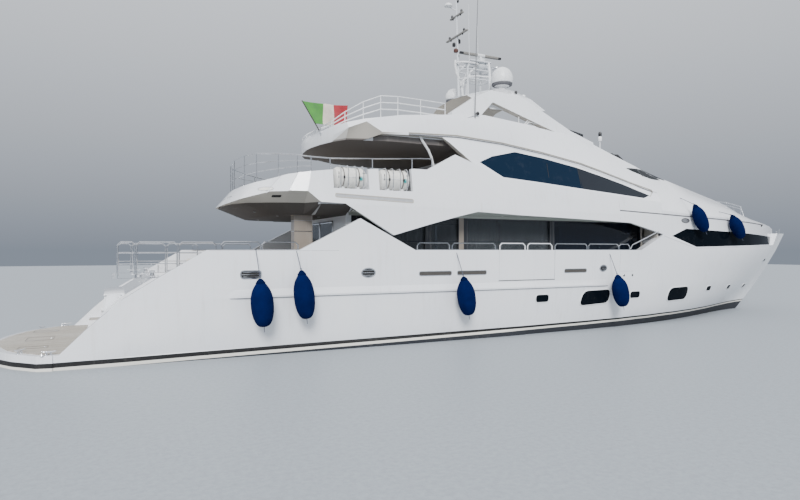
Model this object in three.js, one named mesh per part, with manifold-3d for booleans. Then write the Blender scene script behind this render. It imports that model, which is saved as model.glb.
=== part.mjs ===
// Motor yacht, 39.6 m long, as an assembly of separate solids.
// Millimetres, +X to the bow, +Y to port, +Z up.
// The origin is on the centreline at the waterline, near amidships.

import * as THREE from 'three';
import { mergeVertices } from 'three/addons/utils/BufferGeometryUtils.js';
import Module from 'manifold-3d';

const wasm = await Module();
wasm.setup();

// Driving dimensions
const GAP = 0.3;
const RUNNING_GAP = 8;
const BULWARK_TOP = 3300;
const MAIN_DECK = 2100;
const TEAK = 20;
const PLATFORM_TOP = 420;
const CEILING = 4500;
const SOFFIT = 4610;
const UPPER_DECK = 4780;
const SUN_DECK = 7300;
const WALL = 120;
const HOUSE_AFT = -9300;
const HOUSE_FWD = 4900;
const HOUSE_HALF = 2800;
const UPPER_HOUSE_AFT = -4260;
const FOREDECK_START = 5300;
// Bounds of cutting blocks, outside the boat
const BEAM_OUT = [-4500, 4500];
const SKY = 6000;
const ASTERN = -21000;

// Finishes: colour, roughness, metalness
const finish = (color, roughness, metalness = 0) => ({ color, roughness, metalness });
const FINISHES = {
  gelcoat: finish(0xe9eaee, 0.25),
  glass: finish(0x10161f, 0.08, 0.1),
  teak: finish(0x9a9082, 0.7),
  steel: finish(0xc9ccd0, 0.22, 1),
  bronze: finish(0xa07a3c, 0.4, 1),
  castIron: finish(0x6f7478, 0.5, 0.7),
  canister: finish(0xe4e2da, 0.45),
  cushion: finish(0xd9d2c4, 0.9),
  fenderCover: finish(0x0d3f8f, 0.95),
  wood: finish(0x7a4a26, 0.4),
  plastic: finish(0xe6e7e9, 0.35),
};

const yacht = new THREE.Group();

function place(name, solid, finishName) {
  const mesh = new THREE.Mesh(toGeometry(solid), new THREE.MeshStandardMaterial(FINISHES[finishName]));
  mesh.name = name;
  yacht.add(mesh);
}

// Solids

function toSolid(geometry) {
  const bare = geometry.clone();
  bare.deleteAttribute('normal');
  bare.deleteAttribute('uv');
  const merged = mergeVertices(bare, 0.01);
  return new wasm.Manifold(new wasm.Mesh({
    numProp: 3,
    vertProperties: Float32Array.from(merged.attributes.position.array),
    triVerts: Uint32Array.from(merged.index.array),
  }));
}

function toGeometry(solid) {
  const mesh = solid.getMesh();
  const geometry = new THREE.BufferGeometry();
  geometry.setAttribute('position', new THREE.BufferAttribute(mesh.vertProperties, 3));
  geometry.setIndex(new THREE.BufferAttribute(mesh.triVerts, 1));
  geometry.computeVertexNormals();
  return geometry;
}

const join = (first, ...rest) => rest.reduce((sum, next) => sum.add(next), first);
const cut = (body, ...tools) => tools.reduce((left, tool) => left.subtract(tool), body);

// The solid moved by a three.js matrix; a mirror turns its faces over as well.
function moved(solid, matrix) {
  const geometry = toGeometry(solid).applyMatrix4(matrix);
  if (matrix.determinant() < 0) {
    const index = geometry.index.array;
    for (let k = 0; k < index.length; k += 3) [index[k], index[k + 1]] = [index[k + 1], index[k]];
  }
  return toSolid(geometry);
}

const shifted = (solid, x, y, z) => moved(solid, new THREE.Matrix4().makeTranslation(x, y, z));
const toPort = (solid) => moved(solid, new THREE.Matrix4().makeScale(1, -1, 1));
const bothSides = (solid) => solid.add(toPort(solid));

function block([x0, x1], [y0, y1], [z0, z1]) {
  const geometry = new THREE.BoxGeometry(x1 - x0, y1 - y0, z1 - z0);
  return toSolid(geometry.translate((x0 + x1) / 2, (y0 + y1) / 2, (z0 + z1) / 2));
}

// An outline's points are [a, b] or [a, b, corner radius].
function outlineShape(points) {
  const shape = new THREE.Shape();
  points.forEach(([a, b, radius = 0], k) => {
    const corner = new THREE.Vector2(a, b);
    const before = new THREE.Vector2(...points.at(k - 1)).sub(corner).setLength(radius).add(corner);
    const follow = points[(k + 1) % points.length];
    const after = new THREE.Vector2(...follow).sub(corner).setLength(radius).add(corner);
    if (k === 0) shape.moveTo(before.x, before.y);
    else shape.lineTo(before.x, before.y);
    if (radius > 0) shape.quadraticCurveTo(corner.x, corner.y, after.x, after.y);
  });
  return shape;
}

const CORNER_STEPS = 4;

function extruded(points, depth) {
  return new THREE.ExtrudeGeometry(outlineShape(points), {
    depth, bevelEnabled: false, steps: 1, curveSegments: CORNER_STEPS,
  });
}

// Outline in x and z, across the boat from y0 to y1.
function sideProfile(points, y0, y1) {
  return toSolid(extruded(points, y1 - y0).rotateX(Math.PI / 2).translate(0, y1, 0));
}

// Outline in x and y, standing from z0 to z1.
function planProfile(points, z0, z1) {
  return toSolid(extruded(points, z1 - z0).translate(0, 0, z0));
}

// Skin over closed rings of [x, y, z] that all have the same number of points.
// The two ends are filled as seen along the axis 'x', 'y' or 'z'.
function loft(rings, axis = 'x') {
  const count = rings[0].length;
  const faces = [];
  for (let r = 0; r + 1 < rings.length; r += 1) {
    for (let k = 0; k < count; k += 1) {
      const a = r * count + k;
      const b = r * count + ((k + 1) % count);
      faces.push([a, b, b + count], [a, b + count, a + count]);
    }
  }
  const flat = ([x, y, z]) => ({
    x: new THREE.Vector2(y, z), y: new THREE.Vector2(z, x), z: new THREE.Vector2(x, y),
  })[axis];
  [0, rings.length - 1].forEach((r) => {
    const contour = rings[r].map(flat);
    const turn = Math.sign(THREE.ShapeUtils.area(contour)) * (r === 0 ? -1 : 1);
    THREE.ShapeUtils.triangulateShape(contour, []).forEach((triangle) => {
      const own = Math.sign(THREE.ShapeUtils.area(triangle.map((k) => contour[k])));
      const ordered = own === turn ? triangle : [...triangle].reverse();
      faces.push(ordered.map((k) => k + r * count));
    });
  });
  const geometry = new THREE.BufferGeometry();
  geometry.setAttribute('position', new THREE.Float32BufferAttribute(rings.flat(2), 3));
  geometry.setIndex(orientedOut(faces, rings.flat()).flat());
  return toSolid(geometry);
}

function orientedOut(faces, points) {
  const vectors = points.map((point) => new THREE.Vector3(...point));
  const volume = faces.reduce((sum, [a, b, c]) => (
    sum + vectors[a].dot(new THREE.Vector3().crossVectors(vectors[b], vectors[c]))), 0);
  return volume > 0 ? faces : faces.map(([a, b, c]) => [a, c, b]);
}

// A bent bar along a list of points, with mitred corners.
function pipe(points, radius, sides = 6) {
  const path = points.map((point) => new THREE.Vector3(...point));
  const headings = path.slice(1).map((point, k) => point.clone().sub(path[k]).normalize());
  const up = Math.abs(headings[0].z) > 0.9 ? new THREE.Vector3(1, 0, 0) : new THREE.Vector3(0, 0, 1);
  const across = new THREE.Vector3().crossVectors(headings[0], up).normalize();
  let ring = Array.from({ length: sides }, (_, k) => {
    const angle = (2 * Math.PI * (k + 0.5)) / sides;
    const other = new THREE.Vector3().crossVectors(across, headings[0]);
    return path[0].clone().addScaledVector(across, radius * Math.cos(angle))
      .addScaledVector(other, radius * Math.sin(angle));
  });
  const rings = [ring];
  for (let k = 1; k < path.length; k += 1) {
    const heading = headings[k - 1];
    const normal = k < headings.length ? heading.clone().add(headings[k]).normalize() : heading;
    ring = ring.map((point) => {
      const reach = path[k].clone().sub(point).dot(normal) / heading.dot(normal);
      return point.clone().addScaledVector(heading, reach);
    });
    rings.push(ring);
  }
  const main = ['x', 'y', 'z'].find((axis) => Math.abs(headings[0][axis]) > 0.55);
  return loft(rings.map((points3) => points3.map((point) => point.toArray())), main);
}

// A round bar from one point to another; radii may differ.
function rod(from, to, radius, endRadius = radius, sides = 12) {
  const start = new THREE.Vector3(...from);
  const span = new THREE.Vector3(...to).sub(start);
  const geometry = new THREE.CylinderGeometry(endRadius, radius, span.length(), sides);
  geometry.translate(0, span.length() / 2, 0);
  const turn = new THREE.Quaternion().setFromUnitVectors(new THREE.Vector3(0, 1, 0), span.normalize());
  geometry.applyQuaternion(turn).translate(...from);
  return toSolid(geometry);
}

// A turned shape: profile of [radius, height] from axis to axis, standing on a point.
function turned(profile, [x, y, z], sides = 16) {
  const points = profile.map(([radius, height]) => new THREE.Vector2(radius, height));
  return toSolid(new THREE.LatheGeometry(points, sides).rotateX(Math.PI / 2).translate(x, y, z));
}

// Value of a column along a table whose first column rises.
function along(table, x, column = 1) {
  const next = Math.max(1, Math.min(table.length - 1, table.findIndex((row) => row[0] >= x)));
  const [before, after] = table[table.length - 1][0] < x ? table.slice(-2) : [table[next - 1], table[next]];
  const share = (x - before[0]) / (after[0] - before[0]);
  return before[column] + share * (after[column] - before[column]);
}

// Hull

const HULL_TOP = 4600;
// Columns: x at the waterline, rake, keel z, chine half-breadth, chine z, two points up the side as
// half-breadth and z, sheer half-breadth. The side's crease climbs through the two points aft.
const HULL_STATIONS = [
  [-18200, 0.00, -1050, 3400, -330, 3620, 100, 3660, 1850, 3660],
  [-16200, 0.00, -1180, 3430, -340, 3745, 980, 3690, 1850, 3670],
  [-14200, 0.00, -1290, 3450, -350, 3790, 1820, 3788, 1880, 3700],
  [-12400, 0.00, -1390, 3450, -360, 3775, 1850, 3800, 2640, 3745],
  [-10900, 0.00, -1470, 3440, -360, 3775, 1850, 3805, 3240, 3800],
  [-8000, 0.00, -1600, 3420, -360, 3775, 1850, 3795, 2600, 3800],
  [-2000, 0.00, -1800, 3330, -330, 3760, 1850, 3785, 2600, 3800],
  [1000, 0.03, -1840, 3200, -280, 3690, 1850, 3730, 2600, 3765],
  [3000, 0.05, -1850, 3050, -220, 3600, 1850, 3660, 2600, 3720],
  [5000, 0.08, -1810, 2800, -110, 3420, 1850, 3520, 2600, 3610],
  [7000, 0.12, -1750, 2450, 20, 3180, 1850, 3320, 2600, 3450],
  [8600, 0.18, -1650, 2120, 140, 2910, 1850, 3090, 2600, 3255],
  [10000, 0.25, -1500, 1750, 260, 2600, 1850, 2820, 2600, 3020],
  [11100, 0.35, -1400, 1430, 370, 2240, 1850, 2480, 2600, 2700],
  [12000, 0.45, -1280, 1120, 480, 1850, 1850, 2090, 2600, 2300],
  [12850, 0.56, -1170, 830, 590, 1420, 1850, 1650, 2600, 1850],
  [13600, 0.68, -1050, 560, 700, 985, 1850, 1190, 2600, 1380],
  [14250, 0.79, -940, 340, 810, 610, 1850, 760, 2600, 900],
  [14700, 0.88, -850, 190, 900, 340, 1850, 430, 2600, 500],
  [15220, 1.00, -750, 30, 1000, 30, 1850, 45, 2600, 60],
];
// The stem's place ahead of its foot at the waterline
const stemReach = (z) => 1.30 * z - 0.000065 * z * z;

function hullRing([base, rake, keelZ, chineB, chineZ, sideB, sideZ, kneeB, kneeZ, sheerB]) {
  const lowZ = (chineZ + sideZ) / 2;
  const lowB = chineB + (sideB - chineB) * (0.75 - 0.3 * rake);
  const half = [
    [30, keelZ], [chineB * 0.55, keelZ + (chineZ - keelZ) * 0.5], [chineB, chineZ], [lowB, lowZ],
    [sideB, sideZ], [kneeB, kneeZ], [sheerB, BULWARK_TOP], [sheerB, HULL_TOP],
  ];
  const at = ([b, z]) => [base + rake * stemReach(z), b, z];
  const port = half.map(at);
  const starboard = half.map(([b, z]) => at([-b, z])).reverse();
  return [...starboard, ...port];
}

// Half-breadth of the hull's upper edge, by x
const SHEER = HULL_STATIONS.map(([base, rake, ...rest]) => (
  [base + rake * stemReach(BULWARK_TOP), rest.at(-1)]));
const sheerAt = (x) => along(SHEER, x);

// Half-breadth of the hull's side at the height of the main deck
const SIDE = HULL_STATIONS.map(([base, , , , , sideB, sideZ, kneeB]) => (
  [base, sideZ < 1800 ? kneeB : sideB]));
const sideAt = (x) => along(SIDE, x);

// Plan outline that follows the hull's side at deck level, at a distance inside it
function deckOutline(x0, x1, inset) {
  const xs = [x0, ...SIDE.map(([x]) => x).filter((x) => x > x0 + 300 && x < x1 - 300), x1];
  const starboard = xs.map((x) => [x, -(sideAt(x) - inset)]);
  return [...starboard, ...starboard.map(([x, y]) => [x, -y]).reverse()];
}

// Upper edge of the hull's side, aft to forward: wing, bulwark, two fins, bow
const HULL_EDGE = [
  [-17950, PLATFORM_TOP], [-17270, 1100], [-16410, 1870], [-15330, 2550], [-14070, BULWARK_TOP],
  [-11230, BULWARK_TOP], [-9150, 4360], [-7090, BULWARK_TOP], [3900, BULWARK_TOP],
  [5310, 3960], [7620, 3410], [17150, 3580], [17500, 4240], [19900, 4280],
];
const BULWARK = 150;
const STERN_BLOCK_HALF = 2450;
const COAMING_END = -13560;
const STAIR = { half: 3500, steps: 6, foot: -17450, rise: (MAIN_DECK - PLATFORM_TOP) / 6, run: 410 };
const GARAGE = { x: [-16500, -14600], half: 1900, z: [520, 1850], doorHalf: 1800, sill: 120, lintel: 370 };
const ENGINE_ROOM = { x: [-14300, -8600], half: 2150, z: [-550, 1450] };
const DOOR_PLATE = 90;
// The transom's sloping face, foot and head
const TRANSOM_FOOT = [-17050, 470];
const TRANSOM_HEAD = [-16800, 2240];
const STERN_TOP = 2430;
const BALCONY = { x: [-3560, -900], z: [2150, BULWARK_TOP], gap: 10, pivotZ: 2120 };
const SHAFT = { y: 1600, start: [-10800, -1020], end: [-15900, -1620], radius: 50, bore: 58 };
const RUDDER = { x: -16900, y: 1600, top: -900, stock: 60, bore: 68 };

// Half the platform's rounded plan: x and half-breadth
const PLATFORM_PLAN = [
  [-18100, 3665], [-18500, 3560], [-19150, 2850], [-19500, 2280], [-19850, 1200], [-20000, 0],
];

function platform() {
  const starboard = PLATFORM_PLAN.map(([x, b]) => [x, -b]);
  const port = PLATFORM_PLAN.slice(0, -1).reverse();
  return planProfile([...starboard, ...port], -350, PLATFORM_TOP);
}

function stairWell() {
  const steps = [[STAIR.foot, PLATFORM_TOP]];
  for (let k = 0; k < STAIR.steps; k += 1) {
    const x = STAIR.foot + k * STAIR.run;
    steps.push([x, PLATFORM_TOP + (k + 1) * STAIR.rise]);
    steps.push([x + STAIR.run, PLATFORM_TOP + (k + 1) * STAIR.rise]);
  }
  const well = [
    [ASTERN, PLATFORM_TOP], ...steps.slice(0, -1), [-14900, MAIN_DECK], [-14900, SKY], [ASTERN, SKY],
  ];
  return sideProfile(well, -STAIR.half, -STERN_BLOCK_HALF);
}

// A garage opening or its door: a slab along the transom's sloping face
function transomSlab(out, inside, margin) {
  const [x0, z0] = TRANSOM_FOOT;
  const [x1, z1] = TRANSOM_HEAD;
  const slope = new THREE.Vector2(x1 - x0, z1 - z0).normalize();
  const foot = new THREE.Vector2(x0, z0).addScaledVector(slope, GARAGE.sill - margin);
  const head = new THREE.Vector2(x1, z1).addScaledVector(slope, margin - GARAGE.lintel);
  const inward = new THREE.Vector2(slope.y, -slope.x);
  const corners = [[foot, out], [head, out], [head, inside], [foot, inside]];
  const outline = corners.map(([point, depth]) => point.clone().addScaledVector(inward, depth).toArray());
  return sideProfile(outline, -GARAGE.doorHalf - margin, GARAGE.doorHalf + margin);
}

// A moulded strip along both sides; its section is a list of [distance outside the side, z]
function strip(xs, section, sideHalf) {
  const rings = xs.map((x, k) => {
    const taper = k === 0 || k === xs.length - 1 ? 0.1 : 1;
    return section.map(([out, z]) => [x, -(sideHalf(x) + (out > 0 ? out * taper : out)), z]);
  });
  return bothSides(loft(rings));
}

const BELT_SECTION = [[-60, 1825], [50, 1825], [62, 1880], [8, 2085], [-60, 2085]];
const SPRAY_SECTION = [[-90, -60], [35, -40], [62, 60], [62, 230], [4, 300], [-90, 300]];

const belt = () => strip([-13450, -13200, -11000, -8000, -2000, 1000, 1800, 2050], BELT_SECTION, sideAt);

// Half-breadth of the hull's side just above the water
const LOW_SIDE = HULL_STATIONS.map(([base, rake, , chineB, chineZ, sideB, sideZ]) => {
  const low = [chineB + (sideB - chineB) * (0.75 - 0.3 * rake), (chineZ + sideZ) / 2];
  const [from, to] = low[1] > 150 ? [[chineB, chineZ], low] : [low, [sideB, sideZ]];
  return [base, from[0] + (to[0] - from[0]) * Math.min(1, (150 - from[1]) / (to[1] - from[1]))];
});
const sprayRail = () => strip([-18200, -16200, -14200, -12400, -8000, -3600, -3000, -2100],
  SPRAY_SECTION, (x) => along(LOW_SIDE, x));

function aboveEdge() {
  return sideProfile([...HULL_EDGE, [19900, 6000], [-21000, 6000], [-21000, PLATFORM_TOP]], -4500, 4500);
}

// Everything under the hull's upper edge, raised by a gap
function belowEdge(gap) {
  const edge = HULL_EDGE.filter(([x]) => x > 3000).map(([x, z]) => [x, z + gap]);
  return sideProfile([...edge, [19900, 0], [edge[0][0], 0]], -4500, 4500);
}

function sternBlockTop() {
  const outline = [
    [-21000, PLATFORM_TOP], [TRANSOM_FOOT[0] - 60, PLATFORM_TOP], TRANSOM_FOOT, TRANSOM_HEAD,
    [-16500, STERN_TOP], [-15200, STERN_TOP], [-15200, MAIN_DECK], [-14800, MAIN_DECK],
    [-14800, SKY], [ASTERN, SKY],
  ];
  return sideProfile(outline, -STERN_BLOCK_HALF - 1, STERN_BLOCK_HALF + 1);
}

function shaftLine(radius, from = 0, to = 1) {
  const [x0, z0] = SHAFT.start;
  const [x1, z1] = SHAFT.end;
  const at = (share) => [x0 + (x1 - x0) * share, -SHAFT.y, z0 + (z1 - z0) * share];
  return rod(at(from), at(to), radius);
}

// Low wall between each stair's head and the cockpit
const coaming = () => block([-15300, COAMING_END], [-STERN_BLOCK_HALF, -STERN_BLOCK_HALF + 150],
  [MAIN_DECK - 10, STERN_TOP]);

// Everything over the main deck that is bulwark: aft of the foredeck and outside the deck's edge
const BULWARK_END = 5000;
const bulwarkZone = (z0) => block([-18400, BULWARK_END], [-4500, -2900], [z0, 6000]);

// The hull's whole outer form, with its upper edge, stern and deck well cut
function hullForm() {
  const body = join(loft(HULL_STATIONS.map(hullRing)), platform(), belt(), sprayRail());
  const well = planProfile(deckOutline(-15000, BULWARK_END, BULWARK), MAIN_DECK, 6000);
  return cut(body, aboveEdge(), sternBlockTop(), bothSides(stairWell()), well).add(bothSides(coaming()));
}

const STAIR_ZONE = [-17600, -14700];

function makeBulwark(form) {
  const balcony = block(BALCONY.x, [-4200, -3300], [BALCONY.z[0], 6000]);
  const stair = block(STAIR_ZONE, [-3400, 0], [0, SKY]);
  return cut(form.intersect(bulwarkZone(MAIN_DECK + GAP)), balcony, stair);
}

function makeHull(form) {
  const anchorWell = planProfile([
    [17950, -520, 60], [18900, -150, 60], [18900, 150, 60], [17950, 520, 60],
  ], 3900, 6000);
  const supports = bothSides(join(
    shaftLine(115, 0.02, 0.24),
    shaftLine(95, 0.83, 0.88),
    block([-15330, -15100], [-SHAFT.y - 35, -SHAFT.y + 35], [-1480, -700]),
  ));
  const bores = bothSides(join(
    shaftLine(SHAFT.bore, 0.0, 1.0),
    rod([RUDDER.x, -RUDDER.y, -1300], [RUDDER.x, -RUDDER.y, RUDDER.top + 420], RUDDER.bore),
  ));
  const garage = block(GARAGE.x, [-GARAGE.half, GARAGE.half], GARAGE.z);
  const engineRoom = block(ENGINE_ROOM.x, [-ENGINE_ROOM.half, ENGINE_ROOM.half], ENGINE_ROOM.z);
  const passage = block([-14700, -14200], [-450, 450], [560, 1440]);
  return cut(
    form.add(supports),
    bothSides(bulwarkZone(MAIN_DECK).subtract(block(STAIR_ZONE, [-STAIR.half, 0], [0, SKY]))),
    anchorWell, garage, engineRoom, passage, transomSlab(-200, 700, RUNNING_GAP), bores,
  );
}

// Deck coverings, doors and machinery in the hull

function makePlatformTeak() {
  const margin = 150;
  const [foot, transom] = [STAIR.foot - 30, TRANSOM_FOOT[0] - 70];
  const side = PLATFORM_PLAN[0][1] - 245;
  const rim = PLATFORM_PLAN.slice(1).map(([x, b]) => [x + margin, Math.min(side, Math.max(0, b - margin))]);
  const outline = [
    [foot, -side], [foot, -2430], [transom, -2430], [transom, 2430], [foot, 2430], [foot, side],
    ...rim, ...rim.slice(0, -1).reverse().map(([x, b]) => [x, -b]),
  ];
  return planProfile(outline, PLATFORM_TOP + GAP, PLATFORM_TOP + TEAK);
}

function makeMainDeckTeak() {
  const top = MAIN_DECK + TEAK;
  const field = planProfile(deckOutline(-14850, 4850, BULWARK + 40), MAIN_DECK + GAP, top);
  const house = block([HOUSE_AFT - 30, 6000], [-HOUSE_HALF - 30, HOUSE_HALF + 30], [0, 3000]);
  const walls = block([-15400, COAMING_END + 20], [-STERN_BLOCK_HALF - 20, -STERN_BLOCK_HALF + 170],
    [0, 3000]);
  return cut(field, house, bothSides(walls));
}

function makeBalcony(form) {
  const [x0, x1] = BALCONY.x;
  const panel = form.intersect(block([x0 + BALCONY.gap, x1 - BALCONY.gap], [-4200, -3000],
    [BALCONY.z[0] + BALCONY.gap, BULWARK_TOP]));
  const y = RAIL_FROM_EDGE - sheerAt((x0 + x1) / 2);
  const loops = [[-3480, -2310], [-2190, -1000]].map(([from, to]) => (
    railLoop(from, to, y, BULWARK_TOP - 40, 290)));
  return join(panel, ...loops);
}

// One rail loop: two feet and a top bar with bevelled corners
function railLoop(from, to, y, foot, height = 245, radius = 20) {
  const bevel = 90;
  const top = foot + height;
  return pipe([
    [from, y, foot], [from, y, top - bevel], [from + bevel, y, top],
    [to - bevel, y, top], [to, y, top - bevel], [to, y, foot],
  ], radius);
}

function makeEngine() {
  const floor = ENGINE_ROOM.z[0];
  return block([-12600, -9900], [-1950, -850], [floor + GAP, floor + 1350]);
}

// Propeller with its shaft; the blades are twisted plates on a hub
function makePropeller() {
  const [x0, z0] = SHAFT.start;
  const [x1, z1] = SHAFT.end;
  const pitchAngle = Math.atan2(z0 - z1, x0 - x1);
  const length = Math.hypot(x0 - x1, z0 - z1);
  const bar = rod([-length - 60, 0, 0], [-30, 0, 0], SHAFT.radius);
  const hub = rod([-length - 120, 0, 0], [-length + 260, 0, 0], 85, 120);
  const blades = [0, 1, 2, 3, 4].map((k) => {
    const blade = loft([
      [[-55, 0, 60], [55, 0, 60], [55, 22, 60], [-55, 22, 60]],
      [[-190, -25, 330], [190, -25, 330], [190, 0, 330], [-190, 0, 330]],
      [[-120, -8, 560], [120, -8, 560], [120, 6, 560], [-120, 6, 560]],
    ], 'z');
    const pitch = new THREE.Matrix4().makeRotationZ(THREE.MathUtils.degToRad(52));
    const spin = new THREE.Matrix4().makeRotationX((2 * Math.PI * k) / 5);
    const out = new THREE.Matrix4().makeTranslation(-length + 60, 0, 0);
    return moved(blade, out.multiply(spin).multiply(pitch));
  });
  const tilt = new THREE.Matrix4().makeRotationY(-pitchAngle);
  const away = new THREE.Matrix4().makeTranslation(x0, -SHAFT.y, z0);
  return moved(join(bar, hub, ...blades), away.multiply(tilt));
}

function makeRudder() {
  const { x, y, top, stock } = RUDDER;
  const bar = rod([x, -y, top - 500], [x, -y, top + 380], stock);
  const blade = (z, fore, aft, half) => [
    [x + fore, -y, z], [x + fore * 0.4, -y - half, z], [x - aft, -y, z], [x + fore * 0.4, -y + half, z],
  ];
  return bar.add(loft([blade(top - 160, 300, 520, 75), blade(top - 1150, 240, 430, 45)], 'z'));
}

const makeGarageDoor = () => transomSlab(0, DOOR_PLATE, 0);

// Main deckhouse

// Columns: side window start x, end x
const SALOON_WINDOWS = [[-8900, -6150], [-5920, -4720], [-4350, -330], [-130, 4790]];
const SALOON_SILL = 2950;
const SALOON_HEAD = 4490;
const PANE = 24;
const AFT_DOORWAY = { half: 1500, z: [MAIN_DECK + 60, 4330] };

function makeMainDeckhouse() {
  const base = MAIN_DECK + GAP;
  const top = SOFFIT - GAP;
  const shell = block([HOUSE_AFT, HOUSE_FWD], [-HOUSE_HALF, HOUSE_HALF], [base, top]);
  const room = block([HOUSE_AFT + WALL, HOUSE_FWD - WALL], [-HOUSE_HALF + WALL, HOUSE_HALF - WALL],
    [base - 1, top + 1]);
  const windows = SALOON_WINDOWS.map(([x0, x1]) => bothSides(
    block([x0, x1], [-HOUSE_HALF - 50, -HOUSE_HALF + 200], [SALOON_SILL, SALOON_HEAD])));
  const rebate = bothSides(block([SALOON_WINDOWS[0][0] - 60, SALOON_WINDOWS.at(-1)[1] + 60],
    [-HOUSE_HALF + WALL - PANE - 2 * GAP, -HOUSE_HALF + WALL + 1], [SALOON_SILL - 60, SALOON_HEAD + 60]));
  const { half, z } = AFT_DOORWAY;
  const doorway = block([HOUSE_AFT - 50, HOUSE_AFT + 200], [-half, half], z);
  return cut(shell, room, ...windows, rebate, doorway);
}

function makeSaloonGlass() {
  const outer = -HOUSE_HALF + WALL - PANE;
  return block([SALOON_WINDOWS[0][0] - 60 + GAP, SALOON_WINDOWS.at(-1)[1] + 60 - GAP],
    [outer - GAP, outer + PANE - 2 * GAP], [SALOON_SILL - 60 + GAP, SALOON_HEAD + 60 - GAP]);
}

// A sliding leaf just aft of a house's end wall; it covers half of the doorway
function makeDoorLeaf(wallX, { half, z }) {
  const x = wallX - 40;
  return block([x, x + 30], [-half - 20, -RUNNING_GAP], [z[0] - 15, z[1] + 40]);
}

function makeSofa(x0, x1, half, floor, back) {
  const seat = block([x0, x1], [-half, half], [floor, floor + 430]);
  const [b0, b1] = back > 0 ? [x0, x0 + back] : [x1 + back, x1];
  return seat.add(block([b0, b1], [-half, half], [floor, floor + 850]));
}

function makeTable() {
  const floor = MAIN_DECK + TEAK + GAP;
  const [x0, x1, middle, half, corner] = [-12700, -11500, -12100, 900, 250];
  const outline = [[x0, -half, corner], [x1, -half, corner], [x1, half, corner], [x0, half, corner]];
  const top = planProfile(outline, floor + 680, floor + 730);
  return join(top, rod([middle, -350, floor], [middle, -350, floor + 700], 60),
    rod([middle, 350, floor], [middle, 350, floor + 700], 60),
    block([middle - 200, middle + 200], [-450, 450], [floor, floor + 30]));
}

// Upper-deck moulding: overhang, slab, side panels with hanging wedge and rising fin

// The overhang from its nose forward; columns: x, half-breadth of the lip, z of the outer band's lower
// edge, width of the sloping facet under it
const OVERHANG = [
  [-13170, 60, 4880, 90], [-13100, 1500, 4920, 160], [-12900, 2400, 5020, 300], [-12400, 3100, 5190, 520],
  [-11700, 3550, 5230, 600], [-11000, 3740, 5240, 620], [-10500, 3790, 4880, 20],
];
const FACET_FOOT = 4860;
const PANEL_START = -10450;
const PANEL_LEAN = 0.17;
const PANEL_WALL = 150;
const NOSE_RAKE = 0.83;
// Upper edge of the side panel in x and z, and its lower edge
const PANEL_HEAD = [
  [-13300, 5400], [-12730, 5480], [-11890, 5670], [-11440, 5790], [-10060, 5970], [-7000, 6170], [-6490, 6170],
  [-5260, 6810], [-4470, 6520], [-3360, 6030], [-1620, 5900], [820, 5720], [3940, 5500], [FOREDECK_START, 5420],
];
const PANEL_FOOT = [
  [FOREDECK_START, 4010], [3230, 4460], [140, 4560], [-2570, 4630], [-4480, 4710], [-5270, 4530],
  [-6490, 4210], [-7910, 3810], [-9670, 4840], [-10560, 4870],
];
const RAFT_NOTCHES = [[-10050, -8780], [-8400, -7130]];
const RAFT = { floor: 5350, radius: 370, half: 560, y: 3340, wallTop: 5970, wall: [2870, 2950] };
const BENCH = { top: 5200, width: 930, end: -7130 };

// Half-breadth of the side panel at its foot, by x
const PANEL_EDGE = [PANEL_START, -9340, -8000, -2000, 1000, 3180, 5500].map((x) => [x, sheerAt(x)]);

// Closed ring round the overhang up to x1, moved in by a distance; height and inset are read per row
function overhangRing(x1, height, inset) {
  const rows = [...OVERHANG, ...PANEL_EDGE.filter(([x]) => x < x1 - 10), [x1, along(PANEL_EDGE, x1)]];
  const edge = rows.map((row, k) => {
    const [before, after] = [rows[Math.max(0, k - 1)], rows[Math.min(rows.length - 1, k + 1)]];
    const turn = row[0] < OVERHANG.at(-1)[0] ? after[1] - before[1] : 0;
    const inward = new THREE.Vector2(turn, after[0] - before[0]).setLength(Math.abs(inset(row)))
      .multiplyScalar(Math.sign(inset(row)));
    const z = height(row);
    const share = Math.min(1, Math.max(0, (-10500 - row[0]) / 1900));
    const rake = Math.max(0, z - FACET_FOOT) * NOSE_RAKE * share;
    const lean = Math.max(0, z - 4700) * PANEL_LEAN;
    const x = k === rows.length - 1 ? row[0] : row[0] + inward.x + rake;
    return [x, Math.max(40, row[1] - inward.y - lean), z];
  });
  return [...edge.map(([x, b, z]) => [x, -b, z]), ...edge.map(([x, b, z]) => [x, b, z]).reverse()];
}

const level = (x1, z, inset) => overhangRing(x1, () => z, () => inset);

// The space under the overhang: a prism less the body above the facet and the dropped ceiling
function underOverhang() {
  const nose = ([x]) => x < PANEL_START;
  const pick = (forNose, forSide) => (row) => (nose(row) ? forNose(row) : forSide);
  const [aft, forward] = [HOUSE_AFT - 40, HOUSE_AFT + 20];
  const prism = loft([3000, 4700, FACET_FOOT, 5500].map((z) => (
    overhangRing(aft, () => z, pick(() => -39, 160)))), 'z');
  const above = loft([
    overhangRing(forward, () => CEILING, pick(() => 1150, 870)),
    overhangRing(forward, pick(() => FACET_FOOT, 4840), pick((row) => row[3], 170)),
    overhangRing(forward, pick((row) => row[2], 4860), pick(() => -40, 150)),
    overhangRing(forward, () => 5700, pick(() => -60, 140)),
  ], 'z');
  return prism.subtract(above);
}

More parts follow.
